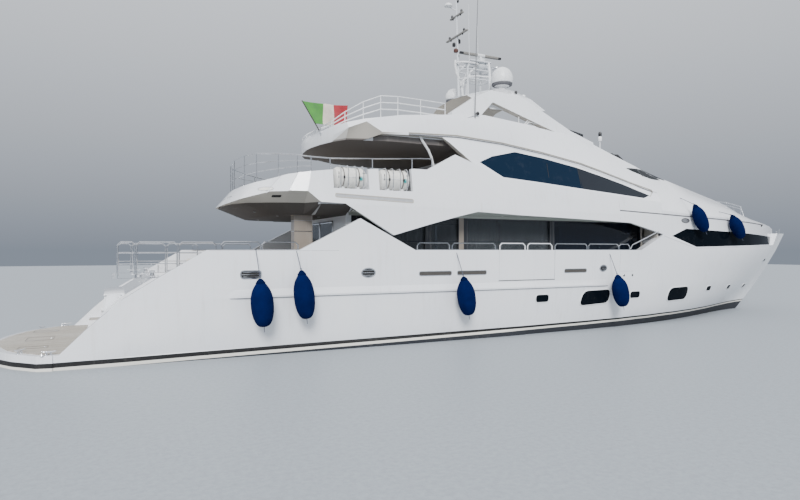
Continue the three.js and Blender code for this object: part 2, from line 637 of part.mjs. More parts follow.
function mouldingForm() {
  const outer = loft([3600, FACET_FOOT, 6950].map((z) => level(FOREDECK_START - GAP, z, 0)), 'z');
  const [nose, end, low] = [-14400, 5500, 2900];
  const head = sideProfile([
    [nose, 3500], [nose, PANEL_HEAD[0][1]], ...PANEL_HEAD, [FOREDECK_START, 3500],
  ], ...BEAM_OUT);
  const foot = sideProfile([...PANEL_FOOT, [PANEL_FOOT.at(-1)[0], 3000], [FOREDECK_START, 3000]], ...BEAM_OUT)
    .subtract(loft([low, 5000].map((z) => level(end, z, PANEL_WALL + 15)), 'z'));
  // Columns: z, inset from the panel's face
  const houseRings = [[low, 160], [4720, 160], [SOFFIT, 480]];
  const houseSpace = loft(houseRings.map(([z, inset]) => level(end, z, inset)), 'z')
    .intersect(block([HOUSE_AFT - 60, end], BEAM_OUT, [low, SKY]));
  const well = loft([BENCH.top, 7000].map((z) => level(end, z, PANEL_WALL)), 'z');
  const floor = loft([UPPER_DECK, BENCH.top + 10].map((z) => level(BENCH.end, z, BENCH.width)), 'z');
  const forward = loft([UPPER_DECK, BENCH.top + 10].map((z) => level(end, z, PANEL_WALL)), 'z')
    .intersect(block([BENCH.end - 10, end], BEAM_OUT, [4000, SKY]));
  const notches = RAFT_NOTCHES.map(([x0, x1]) => bothSides(
    block([x0, x1], [BEAM_OUT[0], -RAFT.wall[1]], [RAFT.floor, 7000])));
  const [bed0, bed1] = [RAFT_NOTCHES[0][0], RAFT_NOTCHES[1][1]];
  const beds = bothSides(join(
    block([bed0, bed1], [-3600, -RAFT.wall[0]], [BENCH.top - 50, RAFT.floor]),
    block([bed0, bed1], [-RAFT.wall[1], -RAFT.wall[0]], [BENCH.top - 50, RAFT.wallTop]),
  ));
  const casing = block([-11000, -10350], [-2300, -1900], [MAIN_DECK + TEAK + GAP, CEILING + 60]);
  const shape = cut(outer.intersect(head), foot, houseSpace, underOverhang(), well, floor, forward);
  return join(shape, beds, casing).subtract(join(...notches));
}

// The moulding is laid up in two parts that meet at the level of the upper deck
const mouldingPart = (moulding, z) => moulding.intersect(block([-14400, 5500], BEAM_OUT, z));

function makeUpperTeak() {
  const [z0, z1] = [UPPER_DECK + GAP, UPPER_DECK + TEAK];
  const aft = loft([z0, z1].map((z) => level(BENCH.end - 30, z, BENCH.width + 30)), 'z');
  const forward = loft([z0, z1].map((z) => level(UPPER_HOUSE_AFT - 60, z, 190)), 'z')
    .intersect(block([BENCH.end + 30, 0], [-4500, 4500], [4000, 6000]));
  const link = block([BENCH.end - 40, BENCH.end + 40], [-2600, 2600], [z0, z1]);
  return join(aft, forward, link);
}

// Two canisters on one cradle rail
function makeRafts() {
  const z = RAFT.floor + RAFT.radius + 30;
  const canisters = RAFT_NOTCHES.map(([x0, x1]) => {
    const middle = (x0 + x1) / 2;
    const { half, radius } = RAFT;
    const profile = [[0, -half], [radius * 0.8, -half], [radius, -half + 90],
      [radius, half - 90], [radius * 0.8, half], [0, half]];
    const shape = toSolid(new THREE.LatheGeometry(profile.map((p) => new THREE.Vector2(...p)), 14));
    return moved(shape, new THREE.Matrix4().makeTranslation(middle, -RAFT.y, z)
      .multiply(new THREE.Matrix4().makeRotationZ(Math.PI / 2)));
  });
  const cradle = block([-9900, -7280], [-3120, -3060], [RAFT.floor + GAP, z]);
  const post = block([-8780 - GAP, -8400 + GAP], [-4000, -3000], [RAFT.floor, 7000]);
  const gap = post.intersect(block([-9000, -8000], [-4000, -3125], [0, 7000]));
  return join(...canisters, cradle.subtract(gap));
}

// Upper deckhouse, window band and roof

// Columns: x, then half-breadth and z of the lip, the band's lower edge and the shoulder, centre z
const ROOF_STATIONS = [
  [-9800, 300, 7200, 320, 7240, 330, 7480, 7500],
  [-9690, 1150, 7200, 1200, 7290, 1190, 7690, 7710],
  [-9500, 1900, 7200, 2060, 7420, 2020, 7740, 7760],
  [-9200, 2500, 7200, 2820, 7580, 2640, 7800, 7820],
  [-8600, 2720, 7200, 3000, 7810, 2900, 7930, 7950],
  [-8020, 3020, 7420, 3060, 7480, 2930, 8030, 8060],
  [-7200, 3090, 7440, 3100, 7500, 2950, 8180, 8200],
  [-5000, 3110, 7485, 3120, 7545, 2880, 8420, 8440],
  [-3000, 3120, 7345, 3130, 7405, 2800, 8480, 8520],
  [-1000, 3130, 7100, 3140, 7160, 2700, 8340, 8410],
  [1000, 3150, 6760, 3160, 6820, 2550, 8160, 8260],
  [2200, 3170, 6480, 3180, 6540, 2420, 7980, 8100],
  [3700, 3220, 6120, 3230, 6180, 2200, 7600, 7760],
  [5300, 3270, 5820, 3280, 5880, 1950, 7230, 7480],
];
const CABIN_CEILING = 7100;
const BELLY = 6960;
const ROOF_SHELL = 130;
const roofRow = (x) => [x, ...[1, 2, 3, 4, 5, 6, 7].map((column) => along(ROOF_STATIONS, x, column))];
const eaveAt = (x) => [along(ROOF_STATIONS, x, 1), along(ROOF_STATIONS, x, 2)];

function mirroredRing(x, half) {
  return [...half.map(([b, z]) => [x, -b, z]), ...half.map(([b, z]) => [x, b, z]).reverse()];
}

const roofRing = ([x, lipB, lipZ, edgeB, edgeZ, shoulderB, shoulderZ, centreZ]) => mirroredRing(x, [
  [lipB, lipZ], [edgeB, edgeZ], [shoulderB, shoulderZ], [0.5 * shoulderB, centreZ]]);

const makeRoofShell = () => loft(ROOF_STATIONS.map(roofRing));

// Closed ring at one height from a starboard outline of [x, half-breadth]
const planRing = (plan, z) => [
  ...plan.map(([x, b]) => [x, -b, z]),
  ...plan.map(([x, b]) => [x, b, z]).reverse(),
];

// Dropped ceiling under the roof's aft overhang, its upper and lower outlines
const BELLY_PLAN = [
  [[-9740, 200], [-9450, 1500], [-9100, 2250], [-8500, 2600], [-7600, 2850], [UPPER_HOUSE_AFT - 40, 2850]],
  [[-9050, 200], [-8900, 900], [-8600, 1500], [-8100, 1850], [-7200, 2150], [UPPER_HOUSE_AFT - 40, 2300]],
];
const CABIN_SLAB = { x: [UPPER_HOUSE_AFT - 60, -990], half: 2930 };
const SUNDECK_PLAN = [
  [-9350, -1450, 300], [-8950, -2250, 300], [-8300, -2640], [-7200, -2720], [-1000, -2450],
  [1500, -2150, 300],
];

function makeRoof() {
  const ceiling = loft(ROOF_STATIONS.filter(([x]) => x >= CABIN_SLAB.x[1] - 10)
    .map(([x, lipB, lipZ, , , shoulderB, shoulderZ]) => {
      const top = Math.min(CABIN_CEILING, shoulderZ - ROOF_SHELL);
      return mirroredRing(x, [
        [lipB - WALL, lipZ - 300], [lipB - WALL, Math.min(lipZ + 30, top)], [shoulderB - 80, top],
      ]);
    }));
  const belly = loft([
    planRing(BELLY_PLAN[0], 7460), planRing(BELLY_PLAN[0], 7210), planRing(BELLY_PLAN[1], BELLY),
  ], 'z');
  const slab = block(CABIN_SLAB.x, [-CABIN_SLAB.half, CABIN_SLAB.half], [CABIN_CEILING, 7460]);
  const portPlan = SUNDECK_PLAN.map(([x, y, r]) => [x, -y, r]).reverse();
  const well = planProfile([...SUNDECK_PLAN, ...portPlan], SUN_DECK, 9500);
  return cut(join(makeRoofShell().subtract(ceiling), belly, slab), well);
}

const UPPER_WINDOW = [
  [-4200, 6600], [-3550, 6880], [-2380, 7150], [-970, 6990], [720, 6720], [2010, 6440], [3280, 6130],
  [4710, 5700], [4250, 5560], [820, 5790], [-1620, 5970], [-3190, 6070],
];
// The wing walls' slanting aft edge, with the open space below it
const WING_AFT = [
  [-6000, 4000], [UPPER_HOUSE_AFT - 1, 4000], [UPPER_HOUSE_AFT - 1, 6360], [-4450, 6460],
  [-5720, 7560], [-6000, 7560],
];

// Half-breadth of the side panel's outer face
const panelFace = (x, z) => along(PANEL_EDGE, x) - (z - 4700) * PANEL_LEAN;
const PANEL_TOP = PANEL_HEAD.filter(([x]) => x > -5300);

// Wall of the upper house: it stands inside the side panel, steps out over the panel's top and
// leans in to the roof's eave
function upperWallRing(x, inset = 0, grow = 0) {
  const [lipB, lipZ] = eaveAt(x);
  const footZ = UPPER_DECK + GAP - grow;
  const sillZ = along(PANEL_TOP, x) + GAP;
  const inside = (z) => panelFace(x, z) - PANEL_WALL - 4 - inset;
  const out = inset > 0 ? inside(sillZ) : panelFace(x, sillZ);
  return mirroredRing(x, [
    [inside(footZ), footZ], [inside(sillZ), sillZ], [out, sillZ + (inset > 0 ? 20 : 0)],
    [lipB - inset, lipZ - GAP + grow],
  ]);
}

// The same wall's outer face alone, moved in by a distance
function upperFaceRing(x, inset) {
  const sillZ = along(PANEL_TOP, x);
  const [lipB, lipZ] = eaveAt(x);
  return mirroredRing(x, [[panelFace(x, sillZ) - inset, sillZ], [lipB - inset, lipZ]]);
}

function insetOutline(points, distance) {
  const count = points.length;
  const centre = points.reduce(([sx, sz], [x, z]) => [sx + x / count, sz + z / count], [0, 0]);
  return points.map(([x, z]) => {
    const reach = Math.hypot(x - centre[0], z - centre[1]);
    const share = (reach - distance) / reach;
    return [centre[0] + (x - centre[0]) * share, centre[1] + (z - centre[1]) * share];
  });
}

const UPPER_WALL_XS = [-4470, -3360, -3000, -1620, -1000, 900, 2200, 3700, 3940, 5300 - 1];
const UPPER_DOORWAY = { half: 1300, z: [UPPER_DECK + 60, 6800] };

function makeUpperDeckhouse() {
  const outer = loft([-5760, -5000, ...UPPER_WALL_XS].map((x) => upperWallRing(x)));
  const roomXs = [UPPER_HOUSE_AFT + WALL, ...UPPER_WALL_XS.slice(1, -1), 5400];
  const room = loft(roomXs.map((x) => upperWallRing(x, WALL, 5)));
  const porch = loft([-5800, -5000, UPPER_HOUSE_AFT].map((x) => upperWallRing(x, WALL, 5)));
  const windows = bothSides(sideProfile(UPPER_WINDOW, -4500, -1500));
  const { half, z } = UPPER_DOORWAY;
  const doorway = block([UPPER_HOUSE_AFT - 50, UPPER_HOUSE_AFT + 200], [-half, half], z);
  const slabHalf = CABIN_SLAB.half + GAP;
  const slab = block(CABIN_SLAB.x, [-slabHalf, slabHalf], [CABIN_CEILING - GAP, 8000]);
  return cut(outer, room, porch, sideProfile(WING_AFT, -4500, 4500), windows, doorway, slab);
}

function makeUpperGlass() {
  const pane = loft(UPPER_WALL_XS.map((x) => upperFaceRing(x, 12)));
  const behind = loft(UPPER_WALL_XS.map((x) => upperFaceRing(x, 12 + PANE)));
  const outline = sideProfile(insetOutline(UPPER_WINDOW, 2), -4500, -1500);
  return pane.subtract(behind).intersect(outline);
}

// Foredeck moulding: windscreen brow, coachroof and the glazed bow side

// Columns: x, groove z, mid half-breadth, mid z, shoulder half-breadth, shoulder z, centre z
const FOREDECK_STATIONS = [
  [FOREDECK_START + GAP, 5050, 3280, 5820, 1950, 7230, 7480],
  [7500, 4930, 3000, 5590, 1800, 6690, 6860],
  [9400, 4890, 2650, 5450, 1600, 6320, 6480],
  [11700, 4850, 2150, 5300, 1250, 5920, 6060],
  [12800, 4830, 1850, 5220, 1100, 5700, 5810],
  [14700, 4740, 1250, 4980, 850, 5120, 5200],
  [16500, 4630, 700, 4760, 450, 4830, 4870],
  [17650, 4500, 330, 4570, 200, 4600, 4620],
];
const FOREDECK_BASE = 3320;

function foredeckRing([x, grooveZ, midB, midZ, shoulderB, shoulderZ, centreZ], inset = 0) {
  const edge = Math.max(60, sheerAt(x) - 20 - inset);
  const baseZ = FOREDECK_BASE - inset;
  const fit = (b) => Math.max(40, Math.min(b, edge + inset - 40) - inset);
  const half = [
    [edge, baseZ], [Math.max(50, edge - 20), grooveZ - inset * 0.5], [fit(midB), midZ - inset * 0.9],
    [fit(shoulderB), shoulderZ - inset], [fit(shoulderB * 0.5), centreZ - inset],
  ];
  return [...half.map(([b, z]) => [x, -b, z]), ...half.map(([b, z]) => [x, b, z]).reverse()];
}

const BOW_WINDOW = [[5950, 3930], [6950, 4270], [16900, 4040], [16650, 3610], [7700, 3440]];
const WINDSCREEN = [[5430, -1960], [6500, -2060], [7450, -1860], [7450, 1860], [6500, 2060], [5430, 1960]];

function makeForedeckMoulding() {
  const outer = loft(FOREDECK_STATIONS.map((row) => foredeckRing(row)));
  const cavity = loft(FOREDECK_STATIONS.slice(0, 6).map((row, k) => {
    const ring = foredeckRing(row, WALL);
    return k === 0 ? ring.map(([x, y, z]) => [x - 50, y, z]) : ring;
  }));
  const windows = bothSides(sideProfile(BOW_WINDOW, -4500, -100));
  const recess = windows.subtract(loft(FOREDECK_STATIONS.map((row) => foredeckRing(row, 40))));
  const glazing = planProfile(insetOutline(WINDSCREEN, 0), 6000, 9000);
  return cut(outer, cavity, recess, glazing.intersect(windscreenBand()), belowEdge(GAP));
}

function windscreenBand() {
  return sideProfile([[5400, 6000], [9000, 6000], [9000, 9000], [5400, 9000]], -2400, 2400);
}

function makeBowGlass() {
  const skin = loft(FOREDECK_STATIONS.map((row) => foredeckRing(row, 10)));
  const behind = loft(FOREDECK_STATIONS.map((row) => foredeckRing(row, 39)));
  const outline = sideProfile(insetOutline(BOW_WINDOW, 4), -4500, -100);
  return skin.intersect(outline).subtract(behind);
}

function makeWindscreen() {
  const skin = loft(FOREDECK_STATIONS.slice(0, 4).map((row) => foredeckRing(row, 15)));
  const behind = loft(FOREDECK_STATIONS.slice(0, 4).map((row, k) => {
    const ring = foredeckRing(row, 50);
    return k === 0 ? ring.map(([x, y, z]) => [x - 50, y, z]) : ring;
  }));
  return skin.subtract(behind).intersect(planProfile(insetOutline(WINDSCREEN, 3), 6000, 9000));
}

// Radar arch, domes and mast

const ARCH_SIDE = [
  [-5060, 8520], [-3940, 9250], [-3030, 9670], [-1560, 9570], [-380, 9060], [1050, 8380], [2300, 7990],
  [2300, 7600], [-5060, 7700],
];
const ARCH_HOLE = [
  [-3030, 9170, 60], [510, 8140, 60], [-250, 8120], [-950, 8390], [-3490, 8570], [-3660, 8570],
];
// The legs lean in by height and by distance from the nose end
const ARCH_LEAN = { byX: 0.064, fromX: -3000, byZ: 0.2, fromZ: 8400 };
// Columns: y, z of the beam's middle line; its section as [x, z from the middle line]
const BEAM = [[2380, 9300], [1250, 9900], [0, 10000]];
const BEAM_SECTION = [[-3400, -180], [-1650, 330], [-1000, 250], [-250, -150], [-900, -300], [-3000, -350]];

// The solid cut to rest on another one below it
const standOn = (solid, support) => solid.subtract(shifted(support, 0, 0, GAP));

function makeArch() {
  const leg = cut(sideProfile(ARCH_SIDE, -2740, -2430), sideProfile(ARCH_HOLE, -3000, -2000));
  const { byX, fromX, byZ, fromZ } = ARCH_LEAN;
  const shift = -byX * fromX - byZ * fromZ;
  const lean = new THREE.Matrix4().set(1, 0, 0, 0, byX, 1, byZ, shift, 0, 0, 1, 0, 0, 0, 0, 1);
  const legs = standOn(bothSides(moved(leg, lean)), makeRoofShell());
  return legs.add(makeBeam());
}

function makeBeam() {
  const ring = (y, middle) => BEAM_SECTION.map(([x, z]) => [x, y, middle + z]);
  const starboard = BEAM.map(([y, z]) => ring(-y, z));
  const port = BEAM.slice(0, -1).reverse().map(([y, z]) => ring(y, z));
  return loft([...starboard, ...port], 'y');
}

function makeDome(x, y, z, radius) {
  const profile = [
    [0, -250], [radius * 0.35, -250], [radius * 0.45, 0], [radius * 0.92, 40], [radius, radius * 0.35],
    [radius * 0.92, radius * 1.1], [radius * 0.55, radius * 1.6], [0, radius * 1.75],
  ];
  return standOn(turned(profile, [x, y, z]), makeBeam());
}

const MAST_TOP = 14600;
const SCANNER = { x: -1900, z: 11770, half: 1080 };

function makeMast() {
  const leg = (x, top, y) => pipe([[x, y, 9800], [x, y * 0.9, 11200], [top, y * 0.4, 11590]], 38, 8);
  const posts = [-400, 400].flatMap((y) => [leg(-2800, -2450, y), leg(-1700, -1700, y)]);
  const hoops = [10750, 11150].map((z) => pipe([
    [-2800, -360, z], [-1700, -360, z], [-1350, 0, z + 60], [-1700, 360, z], [-2800, 360, z],
  ], 30, 8));
  const pole = rod([-3020, 0, 9800], [-3170, 0, MAST_TOP], 60, 35);
  const stays = [10750, 11150].map((z) => rod([-3060, 0, z], [-2780, 360, z], 26, 26, 8)
    .add(rod([-3060, 0, z], [-2780, -360, z], 26, 26, 8)));
  const table = planProfile([
    [-2600, -300, 80], [-1500, -300, 80], [-1500, 300, 80], [-2600, 300, 80],
  ], 11560, 11610);
  const gearbox = block([SCANNER.x - 150, SCANNER.x + 150], [-150, 150], [11600, SCANNER.z - 2]);
  const yards = [[12600, 640], [13480, 430]].map(([z, half]) => (
    rod([-3130, -half, z], [-3130, half, z], 24)));
  const plinth = block([-3150, -1500], [-480, 480], [9900, 10380]);
  const foot = plinth.intersect(shifted(makeBeam(), 0, 0, 60));
  const parts = [foot, table, gearbox, pole, ...posts, ...hoops, ...stays, ...yards];
  return standOn(join(...parts), makeBeam());
}

function makeScanner() {
  const { x, z, half } = SCANNER;
  return block([x - half, x + half], [-80, 80], [z + 90, z + 220]).add(rod([x, 0, z], [x, 0, z + 100], 90));
}

// Rails: each stands on a flat capping that carries its loops

const SIDE_RAILS = {
  quarter: { capping: [-13660, -11240], loops: [[-13640, -12450], [-12410, -11260]] },
  aft: { capping: [-7000, -3620], loops: [[-6970, -5670], [-5560, -3680]] },
  forward: { capping: [-850, 3280], loops: [[-830, 820], [930, 2580], [2640, 3230]] },
};
const RAIL_FROM_EDGE = 80;

function capping(x0, x1, z) {
  const xs = [x0, ...[-12400, -2000, 1500].filter((x) => x > x0 && x < x1), x1];
  const rings = xs.map((x) => {
    const y = -(sheerAt(x) - RAIL_FROM_EDGE);
    return [[x, y - 45, z + GAP], [x, y + 45, z + GAP], [x, y + 45, z + 14], [x, y - 45, z + 14]];
  });
  return loft(rings);
}

function makeSideRail({ capping: [x0, x1], loops }) {
  const bars = loops.map(([from, to]) => {
    const y = -(sheerAt((from + to) / 2) - RAIL_FROM_EDGE);
    return railLoop(from, to, y, BULWARK_TOP + 5);
  });
  return join(capping(x0, x1, BULWARK_TOP), ...bars);
}

// Stern rail: three loops with two middle bars each, on the block beside the stair
function makeSternRail() {
  const base = STERN_TOP;
  const y = -STERN_BLOCK_HALF + 75;
  const height = 1110;
  const loops = [[-16480, -16010], [-15960, -14790], [-14730, -13610]].map(([from, to]) => join(
    railLoop(from, to, y, base + 5, height),
    ...[0.4, 0.7].map((share) => base + height * share).map((z) => rod([from, y, z], [to, y, z], 14, 14, 6)),
  ));
  return join(block([-16495, -13590], [y - 40, y + 40], [base + GAP, base + 14]), ...loops);
}

// Rail along the upper deck's edge and round its aft end
const UPPER_RAIL = { inset: 75, end: -6250, middleBarsTo: -10400 };
// Columns: x, z of the top bar
const UPPER_RAIL_TOP = [
  [-13200, 6640], [-11450, 6450], [-10500, 6330], [-9700, 6360], [-7900, 6480], [-6200, 6590],
];

function makeUpperRail(moulding) {
  const rimAt = (x) => along(PANEL_HEAD, x);
  const sides = [-6250, -7060, -8590, -10120].map((x) => [x, -(panelFace(x, rimAt(x)) - UPPER_RAIL.inset)]);
  const ring = overhangRing(UPPER_RAIL.end, ([x]) => rimAt(x + 400), () => UPPER_RAIL.inset);
  const nose = ring.slice(1, OVERHANG.length - 1).reverse().map(([x, y]) => [x, y]);
  const half = [...sides, ...nose];
  const rim = [...half, [ring[0][0] - 20, 0], ...half.map(([x, y]) => [x, -y]).reverse()];
  const bar = (share, points) => points.map(([x, y]) => {
    const [low, high] = [rimAt(x), along(UPPER_RAIL_TOP, x)];
    return [x, y, low + (high - low) * share];
  });
  const aft = rim.filter(([x]) => x < UPPER_RAIL.middleBarsTo);
  const posts = rim.map(([x, y]) => (
    rod([x, y, rimAt(x) - 12], [x, y, along(UPPER_RAIL_TOP, x)], 17, 17, 6)));
  const all = join(pipe(bar(1, rim), 20), pipe(bar(0.68, aft), 14), pipe(bar(0.36, aft), 14), ...posts);
  return standOn(all, moulding);
}

// Rail along the roof's edge and across its aft end: points of the starboard half as x, y, z of the bar
const ROOF_RAIL = [
  [-5300, -2760, 8830], [-6360, -2790, 8850], [-7300, -2810, 8860], [-7970, -2790, 8820], [-8600, -2680, 8560],
  [-9150, -2300, 8230], [-9480, -1820, 7960], [-9610, -900, 7900],
];

function makeRoofRail() {
  const path = [...ROOF_RAIL, ...ROOF_RAIL.map(([x, y, z]) => [x, -y, z]).reverse()];
  const posts = path.map(([x, y, z]) => rod([x, y, roofRow(x)[6] - 90], [x, y, z], 16, 16, 6));
  return standOn(join(pipe(path, 20), ...posts), makeRoofShell());
}

// Sundeck helm and its low screen
function makeHelm() {
  const floor = SUN_DECK + GAP;
  return sideProfile([
    [450, floor], [1200, floor], [1200, 8180], [1000, 8330], [620, 8280], [480, 8050],
  ], -850, 850);
}

function makeSundeckScreen() {
  const plan = [[1150, -2050], [2350, -1780], [2650, -900], [2650, 900], [2350, 1780], [1150, 2050]];
  const inner = plan.map(([x, y]) => [x - (Math.abs(y) < 2000 ? 22 : 0), y * 0.988]).reverse();
  const glass = planProfile([...plan, ...inner], 7300, 8600);
  const top = sideProfile([[1000, 8540], [2700, 8400], [2700, 8700], [1000, 8700]], -2500, 2500);
  return standOn(glass.subtract(top), makeRoofShell());
}

// Staff with its flag flying forward
function makeEnsignStaff() {
  const staff = rod([-9650, -1200, 7500], [-10420, -1200, 8780], 22, 16, 8);
  const flag = sideProfile([[-10385, 8740], [-8620, 8760], [-8640, 7960], [-9900, 7950]], -1204, -1196);
  return standOn(staff.add(flag), makeRoofShell());
}

// Fenders hang beside the starboard side; columns: top x, z, bottom x, z, y, radius
const FENDERS = [
  [-12590, 2430, -12470, 960, -4225, 350], [-11310, 2670, -11130, 1140, -4225, 330],
  [-5380, 2360, -5150, 970, -4210, 335], [2060, 2290, 2400, 970, -4110, 335],
  [7130, 5370, 7880, 4160, -3730, 300], [10250, 4990, 11000, 3890, -3330, 300],
];
// Shares of the length from the bottom, with the share of the radius there
const FENDER_FORM = [
  [0, 0], [0, 0.5], [0.12, 0.74], [0.3, 0.96], [0.5, 1], [0.72, 0.86], [0.9, 0.42], [1, 0.12], [1, 0],
];

function makeFender([topX, topZ, footX, footZ, y, radius]) {
  const foot = new THREE.Vector3(footX, y, footZ);
  const axis = new THREE.Vector3(topX, y, topZ).sub(foot);
  const profile = FENDER_FORM.map(([share, wide]) => new THREE.Vector2(wide * radius, share * axis.length()));
  const up = new THREE.Vector3(0, 1, 0);
  const turn = new THREE.Quaternion().setFromUnitVectors(up, axis.clone().normalize());
  return toSolid(new THREE.LatheGeometry(profile, 14).applyQuaternion(turn).translate(...foot.toArray()));
}

const form = hullForm();
place('hull', makeHull(form), 'gelcoat');
place('platform_teak', makePlatformTeak(), 'teak');
place('main_deck_teak', makeMainDeckTeak(), 'teak');
place('garage_door', makeGarageDoor(), 'gelcoat');
place('main_deckhouse', makeMainDeckhouse(), 'gelcoat');
const moulding = mouldingForm();
place('upper_moulding', mouldingPart(moulding, [1900, UPPER_DECK]), 'gelcoat');
place('upper_coaming', mouldingPart(moulding, [UPPER_DECK + GAP, 7000]), 'gelcoat');
place('upper_deck_teak', makeUpperTeak(), 'teak');
place('upper_deckhouse', makeUpperDeckhouse(), 'gelcoat');
place('hardtop', makeRoof(), 'gelcoat');
place('foredeck_moulding', makeForedeckMoulding(), 'gelcoat');
place('windscreen', makeWindscreen(), 'glass');
place('radar_arch', makeArch(), 'gelcoat');
place('mast', makeMast(), 'plastic');
place('radar_scanner', makeScanner(), 'plastic');
place('cockpit_table', makeTable(), 'wood');
place('cockpit_sofa', makeSofa(-14100, -13250, 2100, MAIN_DECK + TEAK + GAP, 250), 'cushion');
for (const [side, turn] of [['starboard', (solid) => solid], ['port', toPort]]) {
  place(`bulwark_${side}`, turn(makeBulwark(form)), 'gelcoat');
  place(`balcony_${side}`, turn(makeBalcony(form)), 'gelcoat');
  place(`engine_${side}`, turn(makeEngine()), 'castIron');
  place(`propeller_${side}`, turn(makePropeller()), 'bronze');
  place(`rudder_${side}`, turn(makeRudder()), 'bronze');
  place(`saloon_glass_${side}`, turn(makeSaloonGlass()), 'glass');
  place(`saloon_door_${side}`, turn(makeDoorLeaf(HOUSE_AFT, AFT_DOORWAY)), 'glass');
  place(`upper_door_${side}`, turn(makeDoorLeaf(UPPER_HOUSE_AFT, UPPER_DOORWAY)), 'glass');
  place(`upper_glass_${side}`, turn(makeUpperGlass()), 'glass');
  place(`bow_glass_${side}`, turn(makeBowGlass()), 'glass');
  place(`life_rafts_${side}`, turn(makeRafts()), 'canister');
  place(`stern_rail_${side}`, turn(makeSternRail()), 'steel');
  place(`side_rail_quarter_${side}`, turn(makeSideRail(SIDE_RAILS.quarter)), 'steel');
  place(`side_rail_aft_${side}`, turn(makeSideRail(SIDE_RAILS.aft)), 'steel');
  place(`side_rail_forward_${side}`, turn(makeSideRail(SIDE_RAILS.forward)), 'steel');
}
place('dome_starboard', makeDome(-1460, -1000, 10360, 480), 'plastic');
place('dome_port', makeDome(-2700, 1000, 9960, 370), 'plastic');
place('upper_rail', makeUpperRail(moulding), 'steel');
place('roof_rail', makeRoofRail(), 'steel');
place('sundeck_helm', makeHelm(), 'gelcoat');
place('sundeck_screen', makeSundeckScreen(), 'glass');
place('ensign_staff', makeEnsignStaff(), 'wood');
FENDERS.forEach((row, k) => place(`fender_${k + 1}`, makeFender(row), 'fenderCover'));

export default yacht;
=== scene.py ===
"""Motor yacht afloat: the finish and the fine pieces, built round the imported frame.

Metres throughout, +X to the bow, +Y to port, +Z up, the waterline at z = 0.
"""

import logging
import math
from dataclasses import dataclass, field
from enum import Enum
from typing import Callable, Iterable, Optional, Sequence

import bmesh
import bpy
from mathutils import Matrix, Vector, noise
from mathutils.bvhtree import BVHTree


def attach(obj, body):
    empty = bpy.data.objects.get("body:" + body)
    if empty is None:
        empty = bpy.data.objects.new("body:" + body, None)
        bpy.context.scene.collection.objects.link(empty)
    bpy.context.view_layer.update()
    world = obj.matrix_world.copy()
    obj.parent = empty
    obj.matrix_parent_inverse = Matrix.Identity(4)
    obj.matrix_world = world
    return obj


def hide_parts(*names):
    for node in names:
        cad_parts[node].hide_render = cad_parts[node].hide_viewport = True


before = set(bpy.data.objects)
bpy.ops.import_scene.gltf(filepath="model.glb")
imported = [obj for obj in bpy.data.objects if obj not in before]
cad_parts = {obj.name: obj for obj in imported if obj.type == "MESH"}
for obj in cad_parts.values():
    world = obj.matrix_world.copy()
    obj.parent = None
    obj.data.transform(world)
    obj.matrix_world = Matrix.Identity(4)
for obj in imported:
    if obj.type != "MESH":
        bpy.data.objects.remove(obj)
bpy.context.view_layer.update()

LOG = logging.getLogger("yacht")
YACHT = "yacht"

Point = Sequence[float]
Profile = Sequence[tuple[float, float]]
Colour = tuple[float, float, float]
Material = bpy.types.Material
Socket = bpy.types.NodeSocket


class Side(Enum):
    """A side of the boat, with the sign of its y."""

    STARBOARD = -1
    PORT = 1

    @property
    def word(self) -> str:
        """The side's name as it stands in the names of pieces."""
        return self.name.lower()


# Camera


@dataclass(frozen=True)
class Viewpoint:
    """The place and lens that the photograph was taken with."""

    place: tuple[float, float, float] = (-16.6, -22.4, 3.3)
    heading: tuple[float, float, float] = (0.4321, 0.9018, 0.0)
    lens_mm: float = 26.91
    sensor_mm: float = 36.0

    def build(self) -> bpy.types.Object:
        """Makes the scene's camera.

        Returns:
            The camera object.
        """
        data = bpy.data.cameras.new("camera")
        data.lens = self.lens_mm
        data.sensor_width = self.sensor_mm
        data.clip_end = 500.0
        camera = bpy.data.objects.new("camera", data)
        camera.location = self.place
        camera.rotation_mode = "QUATERNION"
        camera.rotation_quaternion = Vector(self.heading).to_track_quat("-Z", "Y")
        bpy.context.scene.collection.objects.link(camera)
        bpy.context.scene.camera = camera
        return camera


# Meshes


